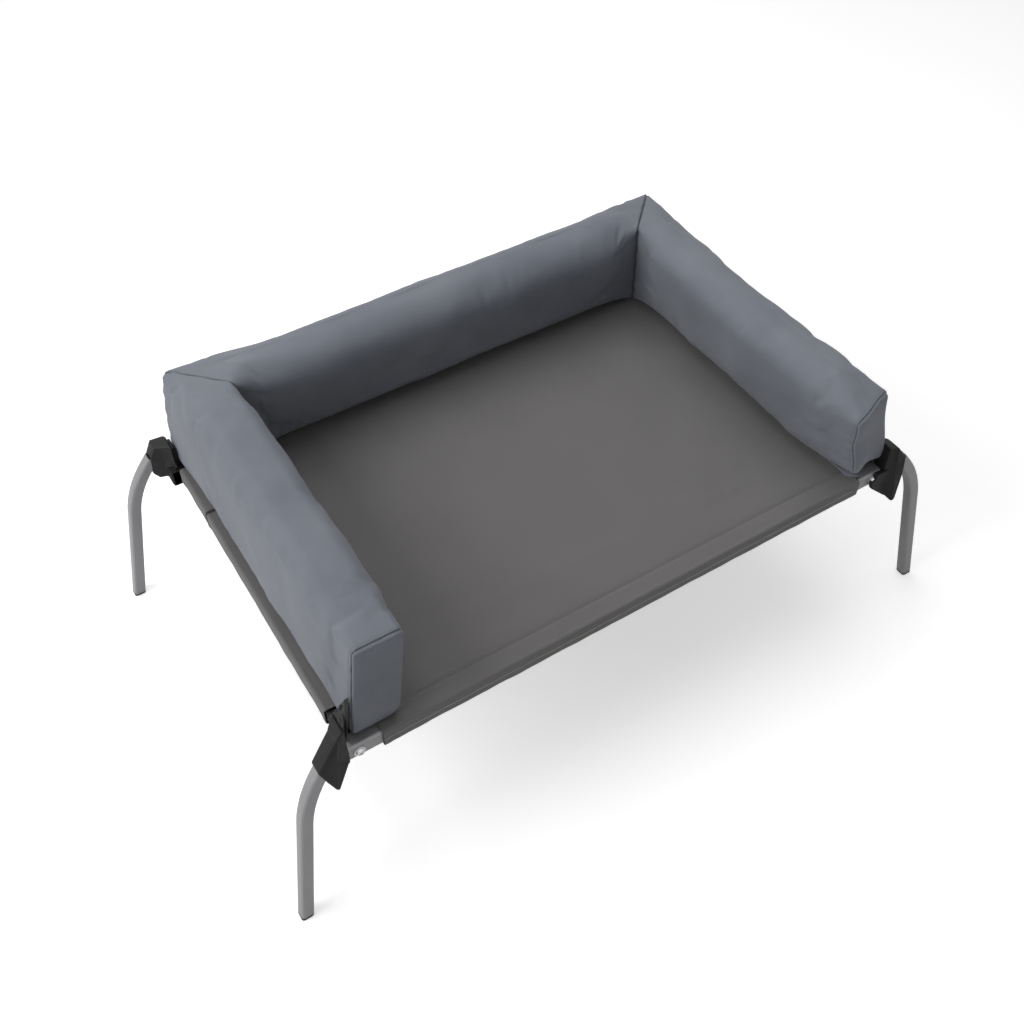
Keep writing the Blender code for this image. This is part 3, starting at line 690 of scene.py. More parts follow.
@dataclass
class Stitches:
    """A row of lockstitches along a line on the cloth."""

    name: str
    body: Body
    material: bpy.types.Material
    length: float = 0.0034
    gap: float = 0.0012
    thickness: float = 0.0007
    lift: float = 0.00022
    rings: int = 5
    sides: int = 5
    rows: list[tuple[Array, Array]] = field(default_factory=list)

    def along(self, line: Array, normals: Array) -> None:
        """Add a row.

        Args:
            line: points along the seam.
            normals: outward direction at each point.
        """
        self.rows.append((line, normals))

    def build(self, slot: str) -> bpy.types.Object:
        """Make all rows one piece.

        A stitch is a round thread whose height follows half a sine from end to end, and
        whose radius shrinks at both ends.

        Args:
            slot: handed on to dress, which doesn't use it.

        Returns:
            The piece.
        """
        points = np.concatenate([self.row_points(line, normals) for line, normals in self.rows])
        count, rings, sides = points.shape[:3]
        i, j = np.meshgrid(np.arange(rings - 1), np.arange(sides), indexing="ij")
        i, j = i.ravel(), j.ravel()
        after, near, far = (j + 1) % sides, i * sides, (i + 1) * sides
        cell = np.stack([near + j, near + after, far + after, far + j], 1)
        caps = np.stack([np.arange(sides)[::-1], (rings - 1) * sides + np.arange(sides)])
        start = (np.arange(count) * rings * sides)[:, None, None]
        faces = (cell[None] + start).reshape(-1, 4).tolist()
        faces += (caps[None] + start).reshape(-1, sides).tolist()
        mesh = bpy.data.meshes.new(self.name)
        mesh.from_pydata(points.reshape(-1, 3).tolist(), [], faces)
        mesh.polygons.foreach_set("use_smooth", np.ones(len(mesh.polygons), bool))
        obj = bpy.data.objects.new(self.name, mesh)
        bpy.context.scene.collection.objects.link(obj)
        dress(obj, self.material, self.body, slot)
        return obj

    def row_points(self, line: Array, normals: Array) -> Array:
        """Points of every stitch in one row.

        Args:
            line: points along the seam.
            normals: outward direction at each point.

        Returns:
            Points by stitch, ring and side.
        """
        reach = run_length(line_steps(line))
        count = max(2, int(reach[-1] // (self.length + self.gap)))
        middle = (np.arange(count) + 0.5) * reach[-1] / count

        def read(values: Array, ahead: float = 0.0) -> Array:
            """Values of the line's points, read at the stitches or a little ahead of them."""
            return np.stack([np.interp(middle + ahead, reach, values[:, k]) for k in range(3)], 1)

        tangent = read(line, 0.001) - read(line, -0.001)
        tangent /= np.linalg.norm(tangent, axis=1)[:, None]
        up = read(normals)
        up -= (up * tangent).sum(1)[:, None] * tangent
        up /= np.linalg.norm(up, axis=1)[:, None]
        side = np.cross(tangent, up)
        part = np.linspace(-1.0, 1.0, self.rings)
        bow = np.cos(part * math.pi / 2)
        radius = self.thickness / 2 * (0.45 + 0.55 * bow)
        turn = np.arange(self.sides) * 2.0 * math.pi / self.sides
        run = part[:, None] * self.length / 2 * np.ones(self.sides)
        out = radius[:, None] * np.cos(turn)
        rise = (bow * self.thickness * 0.45)[:, None]
        high = radius[:, None] * np.sin(turn) + rise + self.lift - self.thickness * 0.2
        run, out, high = (part[None, ..., None] for part in (run, out, high))
        tangent, side, up = (way[:, None, None] for way in (tangent, side, up))
        return read(line)[:, None, None] + (run * tangent + out * side) + high * up


# Frame


@dataclass
class Leg:
    """Bent square tube legs, drawn in finer steps than the CAD nodes they stand for."""

    size: float = 0.018
    wall: float = 0.0015
    corner: float = 0.0040
    bottom: float = 0.0038
    splay: float = math.radians(10.4)
    tilt: float = math.radians(5.2)
    bend_radius: float = 0.210
    socket_lean: float = math.radians(37.0)
    mouth_x: float = 0.4828
    mouth_y: float = 0.2975
    mouth_z: float = 0.2863
    insertion: float = 0.018
    short_insertion: float = 0.010
    dent: float = 0.0006
    dent_row: int = 33
    dent_rows: float = 16.0

    def axis(self, insertion: float) -> tuple[Array, Array, Array]:
        """Middle line of the leg: a straight shank, a round bend and a straight end.

        The bend's centre turns the lean from the splay at the shank to the socket's
        lean: x falls by the radius times the change of the cosine, and z rises by the
        radius times the change of the sine.

        Args:
            insertion: length of the straight end inside the boot.

        Returns:
            X, height and lean at each step.
        """
        radius, splay, socket = self.bend_radius, self.splay, self.socket_lean
        bend_x = self.mouth_x + radius * (math.cos(splay) - math.cos(socket))
        bend_z = self.mouth_z - radius * (math.sin(socket) - math.sin(splay))
        shank_z = np.linspace(self.bottom, bend_z, 14)[:-1]
        shank_x = bend_x + (bend_z - shank_z) * math.tan(splay)
        lean = np.linspace(splay, socket, 40)
        curve_x = bend_x - radius * (math.cos(splay) - np.cos(lean))
        curve_z = bend_z + radius * (np.sin(lean) - math.sin(splay))
        reach = np.linspace(0.0, insertion, 5)[1:]
        x = np.concatenate([shank_x, curve_x, self.mouth_x - math.sin(socket) * reach])
        z = np.concatenate([shank_z, curve_z, self.mouth_z + math.cos(socket) * reach])
        leans = [np.full(len(shank_z), splay), lean, np.full(len(reach), socket)]
        return x, z, np.concatenate(leans)

    def wall_points(self, inset: float, insertion: float) -> Array:
        """One wall of the tube as a grid: the section carried along the axis.

        Args:
            inset: how far inside the outer wall it lies.
            insertion: length of the straight end inside the boot.

        Returns:
            Points by step and by place round the section.
        """
        x, z, lean = self.axis(insertion)
        u, v = rounded_square((self.size - 2 * inset) / 2, self.corner - inset, 9).T
        dent = np.exp(-((np.arange(len(x)) - self.dent_row) / self.dent_rows) ** 2) * self.dent
        hollow = np.where(u < 0, 1.0 - (v / (self.size / 2)) ** 2, 0.0)
        cosine, sine = np.cos(lean), np.sin(lean)
        cosine[0], sine[0] = 1.0 / math.cos(self.splay), 0.0
        across = u[None] + dent[:, None] * hollow[None]
        px = x[:, None] + across * cosine[:, None]
        pz = z[:, None] + across * sine[:, None]
        py = v[None] + self.mouth_y + math.tan(self.tilt) * (self.mouth_z - pz)
        return np.stack([px, py, pz], -1)

    def build(self, material: bpy.types.Material) -> None:
        """Make the four legs.

        Args:
            material: the powder coat.
        """
        for corner in CORNERS:
            insertion = self.short_insertion if corner == "front_left" else self.insertion
            outer = self.wall_points(0.0, insertion)
            inner = self.wall_points(self.wall, insertion)[::-1]
            side, face = corner_signs(corner)
            points = np.concatenate([outer, inner]) * np.array([side, face, 1.0])
            if side * face < 0:
                points = points[:, ::-1]
            obj = Patch(points, round_columns=True, round_rows=True).piece(f"bent_leg_{corner}")
            face_out(obj)
            obj.data.set_sharp_from_angle(angle=math.radians(50))
            dress(obj, material, Body.FRAME, "coated_steel", f"leg_{corner}")


def face_out(obj: bpy.types.Object) -> None:
    """Turn a closed mesh's faces outwards, by the sign of its volume.

    Args:
        obj: the closed piece.
    """
    mesh = obj.data
    mesh.calc_loop_triangles()
    corners = np.zeros(len(mesh.loop_triangles) * 3, np.int64)
    mesh.loop_triangles.foreach_get("vertices", corners)
    a, b, c = mesh_points(mesh)[corners.reshape(-1, 3)].transpose(1, 0, 2)
    if (a * np.cross(b, c)).sum() < 0:
        mesh.flip_normals()
    mesh.update()


def prism(outline: Array, low: Array, high: Array, rounding: float, axis: int) -> Array:
    """A solid with a convex side view and rounded edges, as a grid.

    Rows step across the solid. The first and last follow a quarter circle: the outline is
    moved in along its own normals by the radius less its sine, while the row moves out.

    Args:
        outline: side view, anticlockwise.
        low: near face at each outline point.
        high: far face at each outline point.
        rounding: radius of the edges.
        axis: which world direction the rows step along.

    Returns:
        Points by row and outline point.
    """
    ahead = np.roll(outline, -1, 0) - np.roll(outline, 1, 0)
    normal = np.stack([ahead[:, 1], -ahead[:, 0]], 1)
    normal /= np.linalg.norm(normal, axis=1)[:, None]
    turn = np.linspace(0.0, math.pi / 2, 5)
    inset = np.concatenate([rounding * (1.0 - np.sin(turn)), rounding * (1.0 - np.cos(turn))])
    flat = outline[None] - normal[None] * inset[:, None, None]
    near = low[None] + rounding * (1.0 - np.cos(turn))[:, None]
    far = high[None] - rounding * (1.0 - np.sin(turn))[:, None]
    across = np.concatenate([near, far])
    return np.insert(flat, axis, across, axis=2)


def rounded_outline(corners: tuple[Pair, ...], radius: float) -> Array:
    """Convex outline with round corners: an arc of seven points at each corner.

    Args:
        corners: the sharp corners, anticlockwise.
        radius: radius of the arcs.

    Returns:
        The outline's points.
    """
    sharp = np.array(corners)
    before = sharp - np.roll(sharp, 1, 0)
    after = np.roll(sharp, -1, 0) - sharp
    before /= np.linalg.norm(before, axis=1)[:, None]
    after /= np.linalg.norm(after, axis=1)[:, None]
    bend = np.arccos(np.clip((before * after).sum(1), -1.0, 1.0))
    setback = radius * np.tan(bend / 2)
    start = sharp - before * setback[:, None]
    inward = np.stack([-before[:, 1], before[:, 0]], 1)
    middle = start + inward * radius
    turn = np.linspace(0.0, 1.0, 7)[None] * bend[:, None]
    sine, cosine = np.sin(turn)[..., None], np.cos(turn)[..., None]
    arcs = middle[:, None] + radius * (before[:, None] * sine - inward[:, None] * cosine)
    return arcs.reshape(-1, 2)


LEFT_BOOT = (
    (0.4445, 0.2690), (0.4721, 0.2425), (0.4815, 0.2680), (0.4900, 0.2945), (0.4600, 0.3370),
    (0.4445, 0.3400),
)
RIGHT_BOOT = (
    (0.4445, 0.2480), (0.4640, 0.2225), (0.4700, 0.2280), (0.4745, 0.2780), (0.4725, 0.3080),
    (0.4560, 0.3330), (0.4445, 0.3320),
)
REAR_BOOT = (
    (0.4445, 0.2590), (0.4600, 0.2590), (0.4706, 0.2600), (0.4782, 0.2735), (0.4765, 0.3050),
    (0.4672, 0.3262), (0.4480, 0.3320), (0.4445, 0.3310),
)
RIGHT_LIP = (
    (0.4262, 0.2590), (0.4620, 0.2240), (0.4690, 0.2300), (0.4700, 0.2860), (0.4290, 0.2872),
    (0.4276, 0.2780), (0.4215, 0.2740),
)
BOOTS = dict(zip(CORNERS, (LEFT_BOOT, RIGHT_BOOT, REAR_BOOT, REAR_BOOT)))


@dataclass
class CornerMoulding:
    """Black corner connector: hub, boot for the leg, flush arm and grip ribs."""

    rail_end: float = 0.4438
    hub_out: float = 0.4583
    hub_inner: float = 0.4152
    hub_y: Pair = (0.2612, 0.2940)
    hub_z: Pair = (0.2590, 0.2880)
    neck_y: float = 0.2665
    arm_x: Pair = (0.4172, 0.4418)
    arm_front: float = 0.2268
    arm_z: Pair = (0.2612, 0.2858)
    boot_rounding: float = 0.0030
    boot_x: Pair = (0.4425, 0.4640)
    lip_y: Pair = (0.2921, 0.2995)
    filler: tuple[Pair, Pair, Pair] = ((0.4400, 0.4465), (0.2690, 0.2925), (0.2860, 0.3265))
    cap_top: float = 0.2884
    rib_pitch: float = 0.0062
    rib_half: float = 0.0019
    mouth_middle: float = 0.2975
    mouth_half: float = 0.0115
    flush: float = 0.2965
    inner: float = 0.2640
    tilt: float = math.tan(math.radians(5.2))
    level: float = 0.2863

    def boot(self, corner: str) -> Array:
        """Wedge that widens from the rail's faces to the leg's socket.

        Its far face moves out from the rail's face to the socket's wall with the distance
        from the rail, and both faces follow the leg's tilt.

        Args:
            corner: the bed's corner, which has an outline of its own.

        Returns:
            The boot's grid.
        """
        outline = rounded_outline(BOOTS[corner], self.boot_rounding + 0.0006)
        part = step_up(outline[:, 0], *self.boot_x)
        tilt = self.tilt * (self.level - outline[:, 1]) * part
        high = self.flush + (self.mouth_middle + self.mouth_half - self.flush) * part + tilt
        low = self.inner + (self.mouth_middle - self.mouth_half - self.inner) * part + tilt
        return prism(outline, low, high, self.boot_rounding, 1)

    def block(self, x: Pair, y: Pair, z: Pair, rounding: float) -> Array:
        """Box with round edges, stepped along Y."""
        corners = ((x[0], z[0]), (x[1], z[0]), (x[1], z[1]), (x[0], z[1]))
        outline = rounded_outline(corners, rounding + 0.0004)
        same = np.ones(len(outline))
        return prism(outline, same * y[0], same * y[1], rounding, 1)

    def grids(self, corner: str) -> list[Array]:
        """All solids of one connector, placed as at the right rear corner.

        Args:
            corner: the bed's corner.

        Returns:
            One grid for each solid.
        """
        y, z = self.hub_y, self.hub_z
        grids = [
            self.boot(corner),
            self.block((self.rail_end, self.hub_out), y, z, 0.0022),
            self.block((self.hub_inner, self.hub_out), (y[0], self.neck_y), z, 0.0020),
            self.block(self.arm_x, (self.arm_front, y[0] + 0.003), self.arm_z, 0.0034),
        ]
        if corner == "front_right":
            lip = rounded_outline(RIGHT_LIP, 0.0016)
            same = np.ones(len(lip))
            grids.append(prism(lip, same * self.lip_y[0], same * self.lip_y[1], 0.0012, 1))
        if "rear" in corner:
            cap_x, cap_z = (self.hub_inner, self.hub_out), (z[1] - 0.003, self.cap_top)
            grids.append(self.block(*self.filler, 0.0015))
            grids.append(self.block(cap_x, (y[0], y[1] + 0.0006), cap_z, 0.0010))
        rib_x, rib_y = (self.hub_out - 0.003, self.hub_out + 0.0010), (y[0] + 0.002, y[1] - 0.006)
        for step in (-1.5, -0.5, 0.5, 1.5):
            middle = (z[0] + z[1]) / 2 + step * self.rib_pitch
            rib_z = (middle - self.rib_half, middle + self.rib_half)
            grids.append(self.block(rib_x, rib_y, rib_z, 0.0008))
        return grids

    def build(self, material: bpy.types.Material) -> None:
        """Make the four connectors.

        Args:
            material: the black moulding.
        """
        for corner in CORNERS:
            place = np.array([*corner_signs(corner), 1.0])
            pieces = []
            for number, grid in enumerate(self.grids(corner)):
                patch = Patch(grid * place, round_columns=True, capped=True)
                pieces.append(patch.piece(f"part_{corner}_{number}"))
                face_out(pieces[-1])
            obj = pieces[0]
            with bpy.context.temp_override(active_object=obj, selected_editable_objects=pieces):
                bpy.ops.object.join()
            obj.name = f"moulded_corner_{corner}"
            obj.data.set_sharp_from_angle(angle=math.radians(40))
            dress(obj, material, Body.FRAME, "black_moulding", f"corner_connector_{corner}")


def dress_hardware(
    coat: bpy.types.Material, black: bpy.types.Material, zinc: bpy.types.Material
) -> None:
    """Give the rails, foot plugs and bolts, whose CAD shapes stay, their finishes.

    Args:
        coat: powder coat of the rails.
        black: moulding of the foot plugs.
        zinc: plating of the bolts, washers and nuts.
    """
    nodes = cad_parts
    for name in ("rail_front", "rail_back", "rail_left", "rail_right"):
        paint(nodes[name], coat)
    for name, material in (("foot_plug", black), ("bolt", zinc), ("washer", zinc), ("nut", zinc)):
        for corner in CORNERS:
            paint(nodes[f"{name}_{corner}"], material)
    LOG.info("hardware dressed")


# Sling mat


@dataclass
class SlingMat:
    """The stretched mat with a sleeve round each rail, cut out at the corners."""

    top: float = 0.2876
    sleeve: float = SLEEVE
    side_axis: float = SIDE_AXIS
    long_axis: float = LONG_AXIS
    rounding: float = 0.0042
    cloth: float = 0.0012
    cell: float = 0.0068
    fine: float = 0.0012
    notch_x: float = 0.3965
    notch_front: float = -0.2280
    notch_rear: float = 0.2600
    sag: float = 0.0030
    seam_dip: float = 0.0024
    seam_width: float = 0.0034
    fold_y: float = 0.196
    fold_height: float = 0.0011
    pucker_height: float = 0.00030
    wave_height: float = 0.00055
    hem: float = 0.0120
    hem_rise: float = 0.0007
    hem_step: float = 0.0015
    edge_out: float = 0.0013
    edge_drop: float = 0.0128
    edge_half: Pair = (0.0011, 0.0012)

    def wrap(self, axis: float) -> tuple[Array, Array]:
        """Profile of a sleeve from its seam over, round and under the rail.

        Straight runs join quarter circles; the drop is measured down from the mat's top.

        Args:
            axis: distance of the rail's middle from the bed's middle.

        Returns:
            Distance out and drop at each point.
        """
        near, far = axis - self.sleeve, axis + self.sleeve
        r = self.rounding
        low = 2 * self.sleeve
        turn = np.linspace(0.0, math.pi / 2, 6)
        sine, cosine = np.sin(turn), np.cos(turn)
        runs = [
            (np.linspace(near + 0.0016, far - r, 9)[:-1], np.zeros(8)),
            (far - r + r * sine, r - r * cosine),
            (np.full(6, far), np.linspace(r, low - r, 8)[1:-1]),
            (far - r + r * cosine, low - r + r * sine),
            (np.linspace(far - r, near + r, 7)[1:-1], np.full(5, low)),
            (near + r - r * sine, low - r + r * cosine),
            (np.full(5, near), np.linspace(low - r, 0.0026, 6)[1:]),
        ]
        return np.concatenate([a for a, _ in runs]), np.concatenate([b for _, b in runs])

    def profile(self, axis: float, lines: tuple[float, ...]) -> tuple[Array, Array, Array]:
        """Whole profile from one sleeve's tail to the other's.

        Args:
            axis: distance of the rails' middles from the bed's middle.
            lines: places that must fall on a grid line.

        Returns:
            Place, drop and length along the cloth.
        """
        out, drop = self.wrap(axis)
        seam = axis - self.sleeve
        offsets = (-self.hem, -self.fine, 0.0, self.fine, self.hem)
        stops = sorted({-seam, seam, *[line + offset for line in lines for offset in offsets]})
        stops = [s for s in stops if -seam <= s <= seam]
        pieces = []
        for low, high in zip(stops, stops[1:]):
            count = max(2, int(round((high - low) / self.cell)) + 1)
            pieces.append(np.linspace(low, high, count)[:-1])
        near_seam = np.array([self.fine, 0.0030])
        places = np.concatenate([*pieces, [seam], -seam + near_seam, seam - near_seam])
        panel = np.unique(np.round(places, 6))
        place = np.concatenate([-out[::-1], panel, out])
        drops = np.concatenate([drop[::-1], np.zeros(len(panel)), drop])
        length = run_length(np.hypot(np.diff(place), np.diff(drops)))
        return place, drops, length - length[-1] / 2

    def build(self, material: bpy.types.Material, thread: bpy.types.Material) -> bpy.types.Object:
        """Make the mat: a profile across the bed times a profile along it.

        A point's height is the mat's top less the drops of both profiles, less a sag that
        is the product of two cosines, plus faint drag lines and a dip at the seams.

        Args:
            material: the mat's cloth.
            thread: the mat's thread.

        Returns:
            The mat.
        """
        x, drop_x, length_x = self.profile(self.side_axis, (-self.notch_x, self.notch_x))
        y, drop_y, length_y = self.profile(self.long_axis, (self.notch_front, self.notch_rear))
        grid_x, grid_y = np.meshgrid(x, y, indexing="ij")
        down_x, down_y = np.meshgrid(drop_x, drop_y, indexing="ij")
        cloth = np.stack(np.meshgrid(length_x, length_y, indexing="ij"), -1)
        height = self.top - down_x - down_y + self.relief(grid_x, grid_y, cloth)
        points = np.stack([grid_x, grid_y, height], -1)
        points = self.raise_hems(points, grid_x, grid_y, down_x, down_y)
        points = self.loosen(points, cloth, down_x, down_y)
        middle_x = (x[1:] + x[:-1]) / 2
        middle_y = (y[1:] + y[:-1]) / 2
        beyond_x = np.abs(middle_x) > self.notch_x
        beyond_y = (middle_y < self.notch_front) | (middle_y > self.notch_rear)
        keep = ~(beyond_x[:, None] & beyond_y[None, :])
        obj = Patch(points, cloth=cloth, keep=keep).piece("woven_mat")
        thicken(obj, self.cloth)
        dress(obj, material, Body.FRAME, "sling_cloth", "sling_mat")
        self.sew(thread)
        return obj

    def relief(self, x: Array, y: Array, cloth: Array) -> Array:
        """Sag, seam dips, a crease and puckers along the front, and soft waves.

        Args:
            x: place across the bed.
            y: place along the bed.
            cloth: place on the cloth.

        Returns:
            Height to add.
        """
        seam_x, seam_y = self.side_axis - self.sleeve, self.long_axis - self.sleeve
        off_x, off_y = np.abs(x), np.abs(y)
        inside = step_up(seam_x - off_x, 0.0, 0.05) * step_up(seam_y - off_y, 0.0, 0.05)
        bowl_x = np.cos(np.clip(x / seam_x, -1, 1) * math.pi / 2)
        bowl = bowl_x * np.cos(np.clip(y / seam_y, -1, 1) * math.pi / 2)
        dip = np.exp(-((off_y - seam_y) / self.seam_width) ** 2) * (off_x < seam_x)
        dip += np.exp(-((off_x - seam_x) / self.seam_width) ** 2) * (off_y < seam_y)
        to_fold = y + self.fold_y + 0.010 * np.sin(x * 3.1)
        fold = np.exp(-(to_fold / 0.010) ** 2) * step_up(0.40 - off_x, 0.0, 0.1)
        puckers = np.sin(x * 2 * math.pi / 0.021 + 1.3 * np.sin(x * 17.0))
        puckers = puckers * np.exp(-((-seam_y + 0.010 - y) / 0.010) ** 2)
        soft = waves(cloth, 7, (0.09, 0.24), 5) * inside
        height = -self.sag * bowl * inside - self.seam_dip * dip + self.fold_height * fold
        return height + self.pucker_height * puckers + self.wave_height * soft

    def raise_hems(self, points: Array, x: Array, y: Array, down_x: Array, down_y: Array) -> Array:
        """Thicken the cloth where it is folded back at the cut-outs.

        Args:
            points: the mat's points.
            x: place across the bed.
            y: place along the bed.
            down_x: drop of the side sleeves.
            down_y: drop of the long sleeves.

        Returns:
            The points, with the hems raised.
        """
        to_x = self.notch_x - np.abs(x)
        to_y = np.minimum(y - self.notch_front, self.notch_rear - y)
        hem = np.zeros_like(x)
        for near, other, down in ((to_x, to_y, down_y), (to_y, to_x, down_x)):
            folded = ((other < 0.0) | (down > 0.0)) & (near >= 0.0)
            rise = 1.0 - step_up(near, self.hem - self.hem_step, self.hem)
            hem = np.maximum(hem, np.where(folded, rise, 0.0))
        out = self.outward(x, y, down_x, down_y)
        return points + out * (hem * self.hem_rise)[..., None]

    def outward(self, x: Array, y: Array, down_x: Array, down_y: Array) -> Array:
        """Direction away from the rail's middle on a sleeve, and up on the open part.

        Args:
            x: place across the bed.
            y: place along the bed.
            down_x: drop of the side sleeves.
            down_y: drop of the long sleeves.

        Returns:
            Unit directions.
        """
        off_x, off_y = np.abs(x) - self.side_axis, np.abs(y) - self.long_axis
        box_y = np.clip(off_y / self.sleeve, -1, 1) * np.sign(y) * (down_y > 0)
        box_x = np.clip(off_x / self.sleeve, -1, 1) * np.sign(x) * (down_x > 0)
        up = np.clip((self.sleeve - down_x - down_y) / self.sleeve, -1, 1)
        way = np.stack([box_x ** 5, box_y ** 5, up ** 5], -1)
        return way / np.maximum(np.linalg.norm(way, axis=-1, keepdims=True), 1e-6)

    def loosen(self, points: Array, cloth: Array, down_x: Array, down_y: Array) -> Array:
        """Small unevenness of the sleeves, where the cloth isn't quite taut.

        Args:
            points: the mat's points.
            cloth: place on the cloth.
            down_x: drop of the side sleeves.
            down_y: drop of the long sleeves.

        Returns:
            The points, moved outwards by about a millimetre at most.
        """
        out = self.outward(points[..., 0], points[..., 1], down_x, down_y)
        part = step_up(down_x + down_y, 0.002, 0.010)
        edge = self.rounding * (1.0 - math.sqrt(0.5))
        bells = [np.exp(-((down - edge) / 0.0013) ** 2) for down in (down_y, down_x)]
        fold = 0.0010 * (bells[0] + bells[1]) * (down_x + down_y > 0.0)
        ripple = waves(cloth, 8, (0.03, 0.09), 9) * 0.00030 + 0.00015
        return points + out * (np.maximum(ripple, -0.0002) * part + fold)[..., None]

    def piping(self, material: bpy.types.Material) -> None:
        """Folded edge along the front rail: a small oval carried along a faintly wavy line, in pale
        cloth as a painted highlight.

        Args:
            material: the pale cloth of the painted highlight.
        """
        reach = self.notch_x - 0.0006
        run = np.linspace(-reach, reach, 160)
        turn = np.arange(12) * 2 * math.pi / 12
        wave = waves(np.stack([run, run * 0.0], -1), 6, (0.04, 0.16), 31) * 0.00035
        face = -(self.long_axis + self.sleeve + self.edge_out)
        y = face - self.edge_half[0] * np.cos(turn)[None] + wave[:, None] * 0.5
        z = self.top - self.edge_drop + self.edge_half[1] * np.sin(turn)[None] + wave[:, None]
        x = run[:, None] + np.zeros((1, 12))
        places = np.stack(np.meshgrid(run, np.linspace(0.0, 0.0085, 13), indexing="ij"), -1)
        points = np.stack([x, y, z], -1)
        obj = Patch(points, cloth=places, round_columns=True, capped=True).piece("mat_edge")
        face_out(obj)
        dress(obj, material, Body.FRAME, "sling_cloth")

    def sew(self, thread: bpy.types.Material) -> None:
        """Two rows of stitches behind every rail.

        Args:
            thread: the mat's thread.
        """
        stitches = Stitches("mat_stitches", Body.FRAME, thread)
        seam_x, seam_y = self.side_axis - self.sleeve, self.long_axis - self.sleeve
        for back in (0.0034, 0.0072):
            run = np.linspace(-self.notch_x + 0.006, self.notch_x - 0.006, 260)
            for face in (-1.0, 1.0):
                self.add_row(stitches, run, np.full(260, face * (seam_y - back)))
            run = np.linspace(self.notch_front + 0.006, self.notch_rear - 0.006, 200)
            for side in (-1.0, 1.0):
                self.add_row(stitches, np.full(200, side * (seam_x - back)), run)
        stitches.build("sling_cloth")

    def add_row(self, stitches: Stitches, x: Array, y: Array) -> None:
        """Lay one row of stitches on the mat's upper side.

        Args:
            stitches: the rows so far.
            x: places across the bed.
            y: places along the bed.
        """
        line = np.stack([x, y, self.top + self.relief(x, y, np.stack([x, y], -1))], -1)
        stitches.along(line, np.tile(np.array([0.0, 0.0, 1.0]), (len(x), 1)))


# Bolsters


@dataclass(frozen=True)
class Press:
    """A push on a soft piece, strongest at one place."""

    place: Triple
    shift: Triple
    reach: Triple

    def move(self, points: Array, floor: float) -> Array:
        """Shift points by a bell of their distance from the place, and keep them above a level.

        Args:
            points: the points to move.
            floor: the lowest level they may reach.

        Returns:
            The moved points.
        """
        away = (points - np.array(self.place)) / np.array(self.reach)
        share = np.exp(-(away ** 2).sum(-1))
        moved = points + share[..., None] * np.array(self.shift)
        moved[..., 2] = np.maximum(moved[..., 2], floor)
        return moved


CLOTH = {
    "quality": 6,
    "mass": 0.25,
    "tension_stiffness": 22.0,
    "compression_stiffness": 22.0,
    "shear_stiffness": 6.0,
    "bending_stiffness": 0.35,
    "use_pressure": True,
    "uniform_pressure_force": 4.0,
    "shrink_min": -0.035,
    "vertex_group_mass": "pins",
    "pin_stiffness": 2.0,
}
CLOTH_FRAMES = 20


